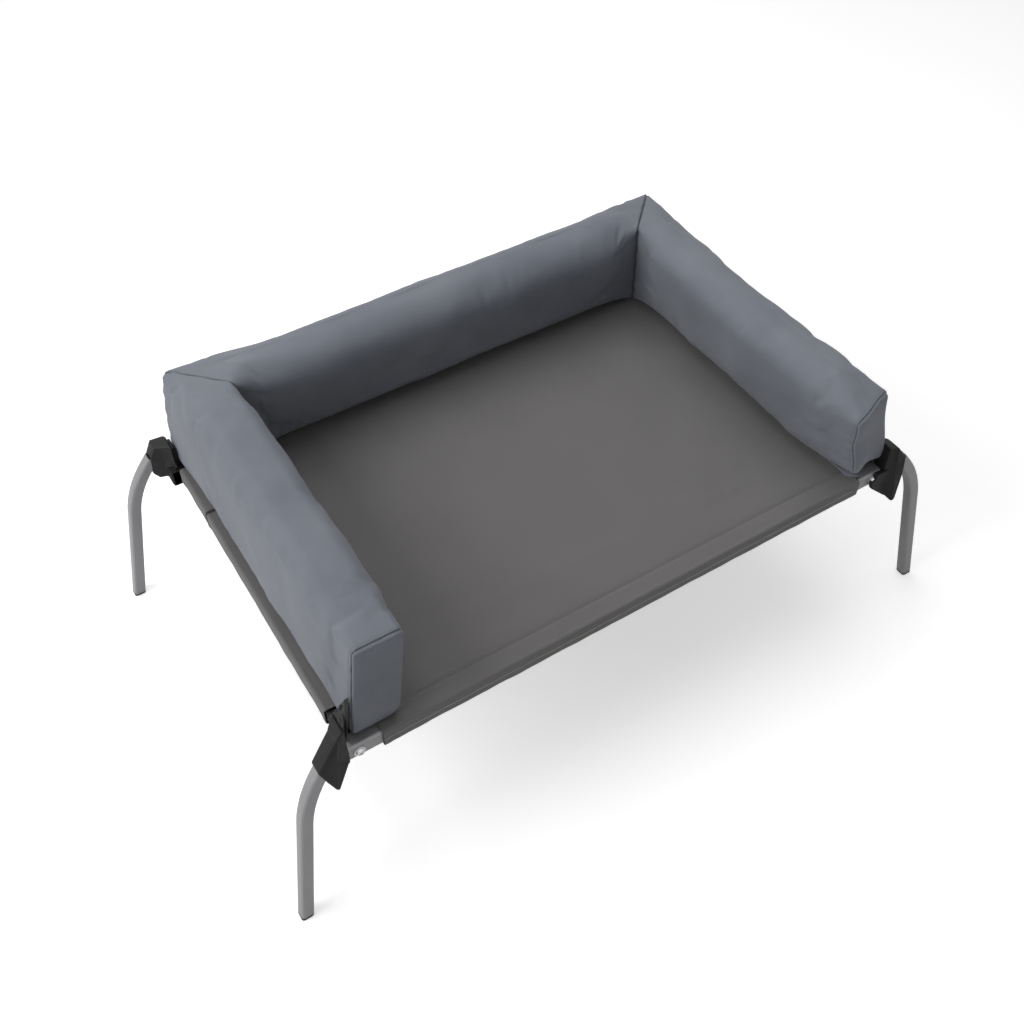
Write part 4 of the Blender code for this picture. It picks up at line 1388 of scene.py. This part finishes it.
@dataclass
class Bolster:
    """A stuffed tube on the mat, square at the front and mitred at the rear corners."""

    side: Side
    width: float = 0.0725
    height: float = 0.1675
    lean: float = 0.019
    side_line: float = 0.3975
    back_line: float = 0.2620
    front: float = -0.277
    bottom: float = 0.2888
    step: float = 0.0052
    start_inset: float = 0.0012
    cap: float = 0.0055
    crown: float = 0.0035
    seam_pull: float = 0.020
    pull_length: float = 0.036
    end_corners: tuple[float, float, float, float] = (0.0065, 0.0075, 0.0175, 0.0065)
    mitre_corners: tuple[float, float, float, float] = (0.0130, 0.0080, 0.0065, 0.0065)
    mitre_pull: float = -0.030
    middle_corners: tuple[float, float, float, float] = (0.0175, 0.022, 0.020, 0.0175)
    side_bulge: float = 0.0035
    top_bulge: float = 0.0040
    columns: int = 92  # nine points on each corner, 6 or 22 on each run between them
    panel_bulge: float = 0.0065
    presses: tuple[Press, ...] = ()
    groove: float = 0.0038
    groove_half: float = 0.0011
    lip_height: float = 0.0009
    lip_place: float = 0.0026
    pucker_height: float = 0.0011
    tight_height: float = 0.0009
    wave_height: float = 0.0010
    wrinkle_height: float = 0.00022
    round_corner: float = 0.0
    seed: int = 1

    def ends(self) -> tuple[tuple[float, float], tuple[float, float]]:
        """Where the bolster starts and ends, and how far each end slants with distance out."""
        if self.side is Side.BACK:
            reach = self.side_line - 0.0004
            return (-reach, -1.0), (reach, 1.0)
        return (self.front, 0.0), (self.back_line - 0.0004, 1.0)

    def placed(self, along: Array, out: Array, up: Array) -> Array:
        """World points from places along the bolster, out from the bed's middle and up.

        Args:
            along: place along the bolster.
            out: distance outwards from its line.
            up: height above the floor.

        Returns:
            Points.
        """
        if self.side is Side.BACK:
            return np.stack([along, self.back_line + out, up], -1)
        sign = -1.0 if self.side is Side.LEFT else 1.0
        return np.stack([sign * (self.side_line + out), along, up], -1)

    def section(self, half_u: Array, half_v: float, corner: Array) -> tuple[Array, Array]:
        """Rounded rectangles, one for each row: four quarter circles joined by straight runs.

        Args:
            half_u: half width of each row.
            half_v: half height.
            corner: radii of each row's corners, from the outer top one round to the
                inner side.

        Returns:
            Distance out and height of each row's points, one column for each point.
        """
        turn = np.linspace(0.0, math.pi / 2, 9)
        arcs = []
        for quarter, (sign_u, sign_v) in enumerate(((1, 1), (-1, 1), (-1, -1), (1, -1))):
            radius = corner[:, quarter, None]
            way = turn + quarter * math.pi / 2
            u = sign_u * (half_u[:, None] - radius) + radius * np.cos(way)
            v = sign_v * (half_v - radius) + radius * np.sin(way)
            arcs.append(np.stack([u, v], -1))
        runs = []
        for quarter, arc in enumerate(arcs):
            share = np.linspace(0.0, 1.0, 8 if quarter % 2 == 0 else 24)[1:-1, None]
            after = arcs[(quarter + 1) % 4][:, :1]
            runs += [arc, arc[:, -1:] + (after - arc[:, -1:]) * share]
        ring = np.concatenate(runs, 1)
        return ring[..., 0], ring[..., 1]

    def stations(self) -> tuple[Array, Array, Array, Array]:
        """Rows of the surface from one end's middle to the other's.

        Returns:
            Part of the length, scale of the section, push past the end, and which rows
            belong to an end.
        """
        start, end = self.ends()
        length = end[0] - start[0]
        count = int(length / self.step)
        even = np.linspace(0.0, 1.0, count)
        fine = np.array([0.0006, 0.0014, 0.0024, 0.0036]) / length
        body = np.unique(np.concatenate([even, fine, 1.0 - fine]))
        wide = (0.10, 0.22, 0.34, 0.46, 0.58, 0.68, 0.77, 0.84, 0.89, 0.93, 0.956, 0.974, 0.988)
        inner, none, whole = np.array(wide), np.zeros(len(wide)), np.ones(len(wide))
        swell = none
        if start[1] == 0.0:
            swell = self.panel_bulge * (1.0 - inner ** 9) * (0.78 + 0.22 * (1.0 - inner ** 2))
        part = np.concatenate([none, body, whole])
        scale = np.concatenate([inner, np.ones(len(body)), inner[::-1]])
        push = np.concatenate([-swell, np.zeros(len(body)), none])
        ends = np.concatenate([whole, np.zeros(len(body)), whole]) > 0.5
        return part, scale, push, ends

    def shape(self) -> tuple[Array, Array, Array, Array]:
        """Points of the resting shape, before it is blown up.

        A section is a rounded rectangle whose sides and top swell by a parabola. It leans
        inwards with height, pulls in at a panel, swells at a mitre, and has a crown.

        Returns:
            Points, cloth places, distance from the nearest seam, and the end rows.
        """
        start, end = self.ends()
        length = end[0] - start[0]
        part, scale, push, ends = self.stations()
        t = part[:, None]
        near = np.exp(-t * length / self.pull_length)
        far = np.exp(-(1.0 - t) * length / self.pull_length)
        boxy = np.minimum(near + far, 1.0)
        first = (self.end_corners, self.seam_pull)
        if self.side is Side.BACK:
            first = (self.mitre_corners, self.mitre_pull)
        corner = np.array([self.middle_corners]) * (1.0 - boxy)
        corner = corner + np.array([first[0]]) * near + np.array([self.mitre_corners]) * far
        pull = 1.0 - first[1] * near - self.mitre_pull * far
        half_u = (self.width / 2 - self.start_inset) * pull
        half_v = self.height / 2 - self.start_inset
        wave = np.sin(math.pi * t)
        u, v = self.section(half_u[:, 0], half_v, corner)
        flat = 1.0 - boxy
        bulge_u = self.side_bulge * np.sign(u) * (1.0 - (v / half_v) ** 2) * flat
        bulge_v = self.top_bulge * (v > 0) * (1.0 - (u / half_u) ** 2) * flat
        u, v = (u + bulge_u) * scale[:, None], (v + bulge_v) * scale[:, None]
        upper = np.clip(v / half_v, 0.0, 1.0)
        v = v + self.crown * np.sqrt(np.abs(wave)) * upper
        u = u - self.lean * (v + half_v) / (2.0 * half_v) - 0.0025 * wave * upper
        low = start[0] + start[1] * u
        high = end[0] + end[1] * u
        along = low + (high - low) * t + push[:, None]
        u, along = self.soften_corner(u, along, t, length)
        up = self.bottom + self.height / 2 + v
        points = self.placed(along, u, up)
        for press in self.presses:
            points = press.move(points, self.bottom)
        cloth = self.cloth_places(points)
        seam = np.minimum(t, 1.0 - t) * length + np.zeros_like(u)
        return points, cloth, seam, np.repeat(ends[:, None], self.columns, 1)

    def soften_corner(self, u: Array, along: Array, t: Array, length: float) -> tuple[Array, Array]:
        """Round the bolster's outer corner in plan where the cover is loose.

        The outer face moves in by r less the root of r squared less (r - s) squared, where
        s is the distance from the corner.

        Args:
            u: distance out.
            along: place along the bolster.
            t: part of the length.
            length: the bolster's length.

        Returns:
            The new distance out and place along.
        """
        r = self.round_corner
        if r == 0.0:
            return u, along
        at_start = self.side is Side.BACK
        away = (t if at_start else 1.0 - t) * length
        reach = away + 0.293 * r
        arc = r - np.sqrt(np.maximum(r * r - (r - reach) ** 2, 0.0))
        shift = np.where(reach < r, arc, 0.0) * step_up(u, 0.0, self.width / 2)
        slide = np.exp(-(away / 0.004))
        return u - shift, along + shift * slide * (1.0 if at_start else -1.0)

    def cloth_places(self, points: Array) -> Array:
        """Lengths along and round the cover, as a UV map in metres.

        Args:
            points: the grid of points.

        Returns:
            Places, with one more column than the points.
        """
        closed = np.concatenate([points, points[:, :1]], 1)
        across = np.linalg.norm(np.diff(closed, axis=1), axis=2)
        row = np.argmax(across.sum(1))
        around = run_length(across[row])
        length = run_length(np.linalg.norm(np.diff(points, axis=0), axis=2).mean(1))
        return np.stack(np.meshgrid(length, around, indexing="ij"), -1)

    def build(self, material: bpy.types.Material, thread: bpy.types.Material) -> bpy.types.Object:
        """Shape the bolster, blow it up as cloth, then sew its seams into it.

        Args:
            material: the cover's cloth.
            thread: the cover's thread.

        Returns:
            The bolster.
        """
        points, cloth, seam, ends = self.shape()
        name = self.side.value
        patch = Patch(points, cloth=cloth, round_columns=True, capped=True)
        obj = patch.piece(f"padded_bolster_{name}")
        face_out(obj)
        self.blow_up(obj, self.freedom(points, seam, ends))
        self.crease(obj, points, cloth, seam, ends)
        smooth = obj.modifiers.new("finer", "SUBSURF")
        smooth.levels = smooth.render_levels = 1
        nodes = (f"bolster_{name}_cover", f"bolster_{name}_core")
        dress(obj, material, Body.BOLSTERS, "bolster_cloth", *nodes)
        self.sew(obj, ends, thread)
        return obj

    def freedom(self, points: Array, seam: Array, ends: Array) -> Array:
        """How far each point may follow the cloth.

        It is 0 at the seams and underneath, 1 elsewhere, and up to 0.35 on a front panel.
        Args:
            points: the resting points.
            seam: distance from the nearest seam.
            ends: points of the end panels.

        Returns:
            One share for each point, the two end middles last.
        """
        high = step_up(points[..., 2], self.bottom + 0.004, self.bottom + 0.030)
        share = step_up(seam, 0.0, 0.055) * high * ~ends
        if self.side is not Side.BACK:
            middle = step_up(-(np.arange(len(points)) - 5.0), 0.0, 4.0)[:, None]
            share = np.maximum(share, 0.35 * middle * high)
        return np.concatenate([share.ravel(), [0.0, 0.0]])

    def blow_up(self, obj: bpy.types.Object, free: Array) -> None:
        """Blow the cover up with Blender's cloth, and keep what the seams allow.

        Args:
            obj: the bolster.
            free: how far each point may follow the cloth.
        """
        rest = mesh_points(obj.data)
        pins = obj.vertex_groups.new(name="pins")
        levels = np.round((1.0 - free) * 10).astype(int)
        for level in range(1, 11):
            chosen = np.flatnonzero(levels == level)
            if len(chosen):
                pins.add(chosen.tolist(), level / 10.0, "REPLACE")
        cloth = obj.modifiers.new("blown", "CLOTH")
        for name, value in CLOTH.items():
            setattr(cloth.settings, name, value)
        cloth.settings.effector_weights.gravity = 0.0
        scene = bpy.context.scene
        for number in range(1, CLOTH_FRAMES + 1):
            scene.frame_set(number)
        shaped = obj.evaluated_get(bpy.context.evaluated_depsgraph_get()).to_mesh()
        moved = mesh_points(shaped) - rest
        scene.frame_set(1)
        obj.modifiers.remove(cloth)
        obj.vertex_groups.remove(pins)
        size = np.linalg.norm(moved, axis=1)
        LOG.info("%s moved %.1f mm at most", obj.name, size.max() * 1000)
        limit = self.cap * np.tanh(size / self.cap) / np.maximum(size, 1e-9)
        shape = rest + moved * (limit * free)[:, None]
        shape[:, 2] = np.maximum(shape[:, 2], self.bottom)
        set_points(obj.data, shape)

    def crease(
        self, obj: bpy.types.Object, points: Array, cloth: Array, seam: Array, ends: Array
    ) -> None:
        """Press the seams in and lay the cover's loose waves over it.

        The seam is a bell-shaped groove with a raised lip on the panel's side. Puckers are
        sines along the seam that fade over a centimetre or two.

        Args:
            obj: the bolster.
            points: its resting points.
            cloth: its cloth places.
            seam: distance from the nearest seam.
            ends: points of the end panels.
        """
        mesh = obj.data
        normals = mesh_points(mesh, "normal")[:-2].reshape(points.shape)
        places = cloth[:, :-1]
        around = places[..., 1] * 2 * math.pi
        wavy = np.sin(around / 0.034 + self.seed) + 0.6 * np.sin(around / 0.019 + 2.0 * self.seed)
        to_rim = (1.0 - self.stations()[1])[:, None] * self.width / 2
        bell = np.exp(-(seam / self.groove_half) ** 2)
        groove = np.where(ends, np.exp(-(to_rim / 0.0008) ** 2), bell)
        front = np.arange(len(points))[:, None] < len(points) // 2
        square = (front & (self.side is not Side.BACK)) | np.zeros(seam.shape, bool)
        slack = (self.side is Side.LEFT) | ((self.side is Side.BACK) & front)
        depth = np.where(square, self.groove, self.groove * np.where(slack, 0.15, 1.5))
        lip = np.exp(-((to_rim - self.lip_place) / 0.0016) ** 2) * ends * square
        fade = np.exp(-seam / 0.011) * ~ends
        move = -depth * groove * (~ends | square) + self.lip_height * lip
        move = move + self.pucker_height * wavy * fade
        loose = step_up(seam, 0.004, 0.06) * ~ends
        high = step_up(points[..., 2], self.bottom + 0.002, self.bottom + 0.02)
        slow = waves(places, 9, (0.085, 0.24), 11 * self.seed) * self.wave_height
        fine = places * np.array([1.0, 0.45])
        quick = waves(fine, 10, (0.022, 0.055), 7 * self.seed) * self.wrinkle_height
        tight = np.exp(-seam / 0.055) * np.sin(around / 0.052 + 3.0 * self.seed) * loose * high
        move = move + (slow + quick) * loose * high + self.tight_height * tight
        shape = mesh_points(mesh)
        shape[:-2] += (normals * move[..., None]).reshape(-1, 3)
        set_points(mesh, shape)

    def sew(self, obj: bpy.types.Object, ends: Array, thread: bpy.types.Material) -> None:
        """Stitches beside the front panel's seam.

        Args:
            obj: the bolster.
            ends: points of the end panels.
            thread: the cover's thread.
        """
        if self.side is Side.BACK:
            return
        row = int(np.flatnonzero(~ends[:, 0])[0]) + 5
        rings = []
        for value in ("co", "normal"):
            ring = mesh_points(obj.data, value)[:-2].reshape(*ends.shape, 3)[row]
            rings.append(np.concatenate([ring, ring[:1]]))
        name = f"bolster_stitches_{self.side.value}"
        stitches = Stitches(name, Body.BOLSTERS, thread, thickness=0.0006)
        stitches.along(*rings)
        stitches.build("bolster_cloth")


@dataclass
class Flap:
    """Loose flap of the right bolster's cover, folded under its front end, or a black sheet of
    painted shade above it.
    """

    name: str = "cover_flap_right"
    low: Pair = (0.386, -0.2880)
    high: Pair = (0.4240, -0.215)
    level: float = 0.2900
    cloth: float = 0.0010
    corner_cut: float = 0.016
    lift: float = 0.0030
    curl: float = 0.0022
    ripple: float = 0.0004

    def build(self, material: bpy.types.Material) -> None:
        """A grid whose front edge droops, lifts in a wave and curls over.

        The height is a level less a droop that grows towards the front, plus a sine
        across the flap. The front edge runs back at both corners by a parabola.

        Args:
            material: the cover's cloth, or black cloth for a sheet of painted shade.
        """
        columns, rows = np.linspace(0.0, 1.0, 30), np.linspace(0.0, 1.0, 22)
        across, back = np.meshgrid(columns, rows, indexing="ij")
        edge = self.corner_cut * (2.0 * across - 0.9) ** 2
        x = self.low[0] + (self.high[0] - self.low[0]) * across
        y = self.low[1] + edge * (1.0 - back) + (self.high[1] - self.low[1]) * back
        lift = self.lift * np.sin(across * math.pi * 1.7 + 0.4) * (1.0 - back)
        curl = self.curl * np.exp(-back / 0.06)
        z = self.level + lift - curl + self.ripple * np.sin(across * 40.0) * (1.0 - back)
        obj = Patch(np.stack([x, y, z], -1), cloth=np.stack([x, y], -1)).piece(self.name)
        thicken(obj, self.cloth)
        dress(obj, material, Body.BOLSTERS, "bolster_cloth")


# Ties


@dataclass
class CornerTie:
    """Black band round the connector's arm, and the crumpled cover patch that it holds, coloured
    black as painted shade.

    The band stays with the frame, and the patch is sewn to the bolster's outer corner.
    """

    corner: str
    low: float
    high: float
    tip: float
    presses: tuple[Press, ...] = ()
    width: float = 0.040
    face: float = 0.4364
    arm: float = 0.4436
    under: float = 0.2595
    bed: float = 0.2905
    lean: float = 0.115
    cloth: float = 0.0009

    def build(self, material: bpy.types.Material) -> None:
        """A grid from below the arm, over its outer side and up the bolster's face.

        The upper edge falls by a power from the bolster's end. The crumples are sines
        across the band that grow upwards.

        Args:
            material: the band's black cloth, also laid on the patch as painted shade.
        """
        across = np.linspace(0.0, 1.0, 34)[:, None]
        up = np.linspace(0.0, 1.0, 44)[None, :]
        knots = np.array([0.0, 0.10, 0.34, 0.44, 0.50, 1.0])
        crest = self.bed + (self.tip - self.bed) * (1.0 - across) ** 0.9 + 0.004
        arm, bed = self.arm, self.bed
        outs = np.array([arm - 0.012, arm, arm, arm - 0.0022, self.face, self.face])
        heights = np.array([self.under, self.under + 0.0005, bed - 0.004, bed - 0.001, bed + 0.001])
        x = np.interp(up, knots, outs) + 0.0 * across
        upper = heights[4] + (crest - heights[4]) * (up - 0.5) / 0.5
        z = np.where(up <= 0.5, np.interp(up, knots[:-1], heights), upper)
        x = x - self.lean * np.maximum(z - bed, 0.0)
        crumple = np.sin(across * 19.0 + up * 5.0)
        crumple = crumple + 0.7 * np.sin(across * 37.0 - up * 11.0 + 1.0)
        crumple = crumple + 0.5 * np.sin(up * 31.0 + across * 9.0)
        x = x + (0.0004 + 0.0006 * up) * (crumple + 1.4)
        y = self.low + (self.high - self.low) * across + 0.0012 * np.sin(up * 17.0)
        points = np.stack([x, y, z], -1)
        points[..., 0] *= corner_signs(self.corner)[0]
        for press in self.presses:
            points = press.move(points, 0.0)
        places = np.stack([across * self.width + 0.0 * up, up * 0.11 + 0.0 * across], -1)
        # The patch is cover cloth in black: painted shade on the bolster's outer corner.
        for name, rows, body, slot in (
            ("corner_tie", slice(0, 23), Body.FRAME, "tie_tape"),
            ("painted_shade_patch", slice(21, None), Body.BOLSTERS, "bolster_cloth"),
        ):
            obj = Patch(points[:, rows], cloth=places[:, rows]).piece(f"{name}_{self.corner}")
            thicken(obj, self.cloth, 0.0)
            dress(obj, material, body, slot)


@dataclass
class TieTape:
    """A narrow closed tape round a sleeve, a little slanted."""

    name: str
    side: Side
    place: float
    gap: float = 0.0013
    thickness: float = 0.0010
    width: float = 0.0052
    corner: float = 0.0045
    slant: float = 0.0010
    axis_z: float = 0.2735

    def build(self, material: bpy.types.Material) -> None:
        """Carry a thin rounded strip round the sleeve's rounded square.

        Args:
            material: the tape's cloth.
        """
        path = rounded_square(SLEEVE + self.gap + self.thickness / 2, self.corner, 8)
        ahead = np.roll(path, -1, 0) - np.roll(path, 1, 0)
        ahead /= np.linalg.norm(ahead, axis=1)[:, None]
        out = np.stack([ahead[:, 1], -ahead[:, 0]], 1)
        part = np.linspace(0.0, 2 * math.pi, 17)[:-1]
        cosine, sine = np.cos(part), np.sin(part)
        wide = np.sign(cosine) * np.abs(cosine) ** 0.4 * self.width / 2
        thick = np.sign(sine) * np.abs(sine) ** 0.7 * self.thickness / 2
        ring = path[:, None] + out[:, None] * thick[None, :, None]
        slant = self.slant * np.sin(np.arange(len(path)) * 2 * math.pi / len(path))
        across = self.place + wide[None] + slant[:, None]
        beside = self.side in (Side.LEFT, Side.RIGHT)
        sign = -1.0 if self.side in (Side.LEFT, Side.FRONT) else 1.0
        spread = sign * (SIDE_AXIS if beside else LONG_AXIS) + ring[..., 0]
        level = self.axis_z + ring[..., 1]
        points = np.stack((spread, across, level) if beside else (across, spread, level), -1)
        run = run_length(line_steps(np.concatenate([path, path[:1]])))
        over = np.linspace(0.0, 2 * self.width, 17)
        cloth = np.stack(np.meshgrid(run, over, indexing="ij"), -1)
        patch = Patch(points, cloth=cloth, round_columns=True, round_rows=True)
        obj = patch.piece(f"tape_{self.name}")
        face_out(obj)
        dress(obj, material, Body.FRAME, "tie_tape", self.name)


# Studio


@dataclass
class Studio:
    """Camera, lamps, world and floor."""

    place: Triple = (-0.6460, -0.9922, 1.5400)
    azimuth: float = math.radians(-32.0812)
    elevation: float = math.radians(49.0525)
    lens: float = 40.393
    key: float = 46.0
    top: float = 34.0
    front: float = 2.2
    ambient: float = 0.26
    floor_glow: float = 0.50
    floor_half: float = 9.0
    floor_level: float = -0.0005

    def build(self) -> None:
        """Set the view, the lamps, the world and the floor."""
        self.camera()
        self.lamp("key_lamp", self.key, (-2.3, 0.35, 2.1), 1.9)
        self.lamp("top_lamp", self.top, (0.2, 0.9, 2.9), 2.4)
        self.lamp("front_lamp", self.front, (0.6, -2.6, 1.5), 2.0)
        self.world()
        self.floor()

    def camera(self) -> None:
        """Camera that looks along the fitted view, with no roll."""
        data = bpy.data.cameras.new("camera")
        data.lens = self.lens
        data.sensor_width = 36.0
        data.sensor_fit = "HORIZONTAL"
        data.clip_start = 0.05
        data.clip_end = 60.0
        camera = bpy.data.objects.new("camera", data)
        camera.location = self.place
        camera.rotation_euler = (math.pi / 2 - self.elevation, 0.0, self.azimuth)
        bpy.context.scene.collection.objects.link(camera)
        bpy.context.scene.camera = camera
        bpy.context.scene.view_settings.view_transform = "Standard"

    def lamp(self, name: str, power: float, place: Triple, size: float) -> None:
        """One square soft lamp aimed at the bed's middle.

        Args:
            name: the lamp's name.
            power: watts.
            place: where it hangs.
            size: width of the square.
        """
        data = bpy.data.lights.new(name, "AREA")
        data.energy = power
        data.size = size
        lamp = bpy.data.objects.new(name, data)
        lamp.location = place
        aim = Vector((0.0, 0.0, 0.3)) - Vector(place)
        lamp.rotation_euler = aim.to_track_quat("-Z", "Y").to_euler()
        bpy.context.scene.collection.objects.link(lamp)

    def background_share(self, tree: Any) -> Any:
        """1 for rays that see the background itself, straight or in a gloss.

        Args:
            tree: the node tree to add to.

        Returns:
            The socket with the share.
        """
        path = tree.nodes.new("ShaderNodeLightPath")
        share = path.outputs["Is Camera Ray"]
        for kind in ("Is Glossy Ray", "Is Transmission Ray"):
            larger = tree.nodes.new("ShaderNodeMath")
            larger.operation = "MAXIMUM"
            tree.links.new(share, larger.inputs[0])
            tree.links.new(path.outputs[kind], larger.inputs[1])
            share = larger.outputs[0]
        return share

    def world(self) -> None:
        """White where it is seen, and a plain soft light elsewhere."""
        world = bpy.data.worlds.new("studio")
        world.use_nodes = True
        bpy.context.scene.world = world
        tree = world.node_tree
        share = self.background_share(tree)
        strength = tree.nodes.new("ShaderNodeMapRange")
        strength.inputs["To Min"].default_value = self.ambient
        strength.inputs["To Max"].default_value = 1.0
        tree.links.new(share, strength.inputs["Value"])
        background = tree.nodes["Background"]
        background.inputs["Color"].default_value = (1.0, 1.0, 1.0, 1.0)
        tree.links.new(strength.outputs[0], background.inputs["Strength"])

    def floor(self) -> None:
        """Wide pale floor that keeps the bed's shadow."""
        shader = Shader("floor_paint")
        mottle = shader.noise(shader.spot(), 3.0, 2.0)
        seen = Value(shader, shader.node("ShaderNodeLightPath").outputs["Is Camera Ray"])
        shader.coat(
            Base_Color=shader.mix(mottle, (0.86, 0.86, 0.86, 1.0), (0.88, 0.88, 0.88, 1.0)),
            Roughness=0.9,
            Specular_IOR_Level=0.0,
            Emission_Color=(1.0, 1.0, 1.0, 1.0),
            Emission_Strength=seen * self.floor_glow,
        )
        half, level = self.floor_half, self.floor_level
        rows = [[[x, y, level] for x in (-half, half)] for y in (-half, half)]
        floor = Patch(np.array(rows)).piece("floor", smooth=False)
        if floor.data.polygons[0].normal.z < 0:
            floor.data.flip_normals()
        paint(floor, shader.material)


LOOSE_CORNER = ((-0.415, 0.280, 0.400), (-0.0105, 0.008, 0.003), (0.085, 0.085, 0.170))
TIES = (
    ("tie_left", Side.LEFT, 0.158),
    ("tie_right", Side.RIGHT, 0.158),
    ("tie_back_left", Side.BACK, -0.240),
    ("tie_back_right", Side.BACK, 0.240),
)
COVER = {"mottle": 0.16, "pitch": 0.0006, "relief": 0.00014, "roughness": 0.62, "sheen": 0.2}


def bolsters() -> tuple[Bolster, ...]:
    """The three bolsters, each with the presses that give it its own slump.

    Returns:
        The left, the back and the right bolster.
    """
    loose = Press(*LOOSE_CORNER)
    tight = Press((0.412, 0.276, 0.450), (0.002, 0.002, 0.0), (0.070, 0.070, 0.060))
    slumped = (
        Press((0.345, -0.277, 0.445), (0.004, -0.017, -0.022), (0.048, 0.050, 0.060)),
        Press((0.398, -0.282, 0.289), (0.000, 0.002, 0.014), (0.040, 0.030, 0.030)),
        Press((0.434, -0.277, 0.320), (0.019, -0.003, 0.0), (0.042, 0.080, 0.075)),
        Press((0.362, -0.279, 0.325), (0.013, -0.016, 0.0), (0.040, 0.045, 0.060)),
    )
    left = Bolster(Side.LEFT, round_corner=0.014, seed=2, presses=(loose,))
    back = Bolster(
        Side.BACK,
        round_corner=0.014,
        seed=5,
        crown=0.0095,
        presses=(loose, tight),
        middle_corners=(0.017, 0.047, 0.034, 0.018),
    )
    right = Bolster(
        Side.RIGHT,
        seed=8,
        presses=(tight, *slumped),
        middle_corners=(0.017, 0.042, 0.036, 0.018),
        end_corners=(0.0065, 0.0065, 0.036, 0.0065),
    )
    return left, back, right


def main() -> None:
    """Build and dress the whole bed in order."""
    logging.basicConfig(level=logging.INFO, format="%(message)s")
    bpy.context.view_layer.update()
    Studio().build()
    tube = PowderCoat().material()
    black = MouldedBlack().material()
    zinc = ZincPlate().material()
    mat_cloth = WovenCloth("mat_cloth", (0.170, 0.164, 0.162), mottle=0.05).material()
    cover = WovenCloth("cover_cloth", (0.178, 0.196, 0.240), tint=(1.05, 1.03, 0.97), **COVER)
    cover_cloth = cover.material()
    # Pale cloth of the mat's front edge: a painted highlight along the sleeve's top front edge.
    painted_highlight_cloth = WovenCloth("painted_highlight_cloth", (0.40, 0.39, 0.385), mottle=0.05).material()
    tape_and_painted_shade_cloth = WovenCloth("tape_and_painted_shade_cloth", (0.012, 0.012, 0.013), pitch=0.0007).material()
    mat_thread = SewingThread("mat_thread", (0.09, 0.088, 0.088)).material()
    cover_thread = SewingThread("cover_thread", (0.14, 0.15, 0.18)).material()
    dress_hardware(tube, black, zinc)
    Leg().build(tube)
    CornerMoulding().build(black)
    sling = SlingMat()
    mat = sling.build(mat_cloth, mat_thread)
    sling.piping(painted_highlight_cloth)
    for bolster in bolsters():
        bolster.build(cover_cloth, cover_thread)
    Flap().build(cover_cloth)
    # Black sheet between the right bolster and its flap: painted shade under the lifted cover.
    Flap("painted_shade_sheet_right", (0.392, -0.2790), (0.4300, -0.215), 0.2935).build(tape_and_painted_shade_cloth)
    CornerTie("front_left", -0.2785, -0.2400, 0.3740).build(tape_and_painted_shade_cloth)
    CornerTie("front_right", -0.2775, -0.2440, 0.3100).build(tape_and_painted_shade_cloth)
    for corner in ("rear_left", "rear_right"):
        loose = (Press(*LOOSE_CORNER),)
        CornerTie(corner, 0.2780, 0.2590, 0.3230, presses=loose, face=0.4396).build(tape_and_painted_shade_cloth)
    for name, side, place in TIES:
        TieTape(name, side, place).build(tape_and_painted_shade_cloth)


if __name__ == "__main__":
    main()
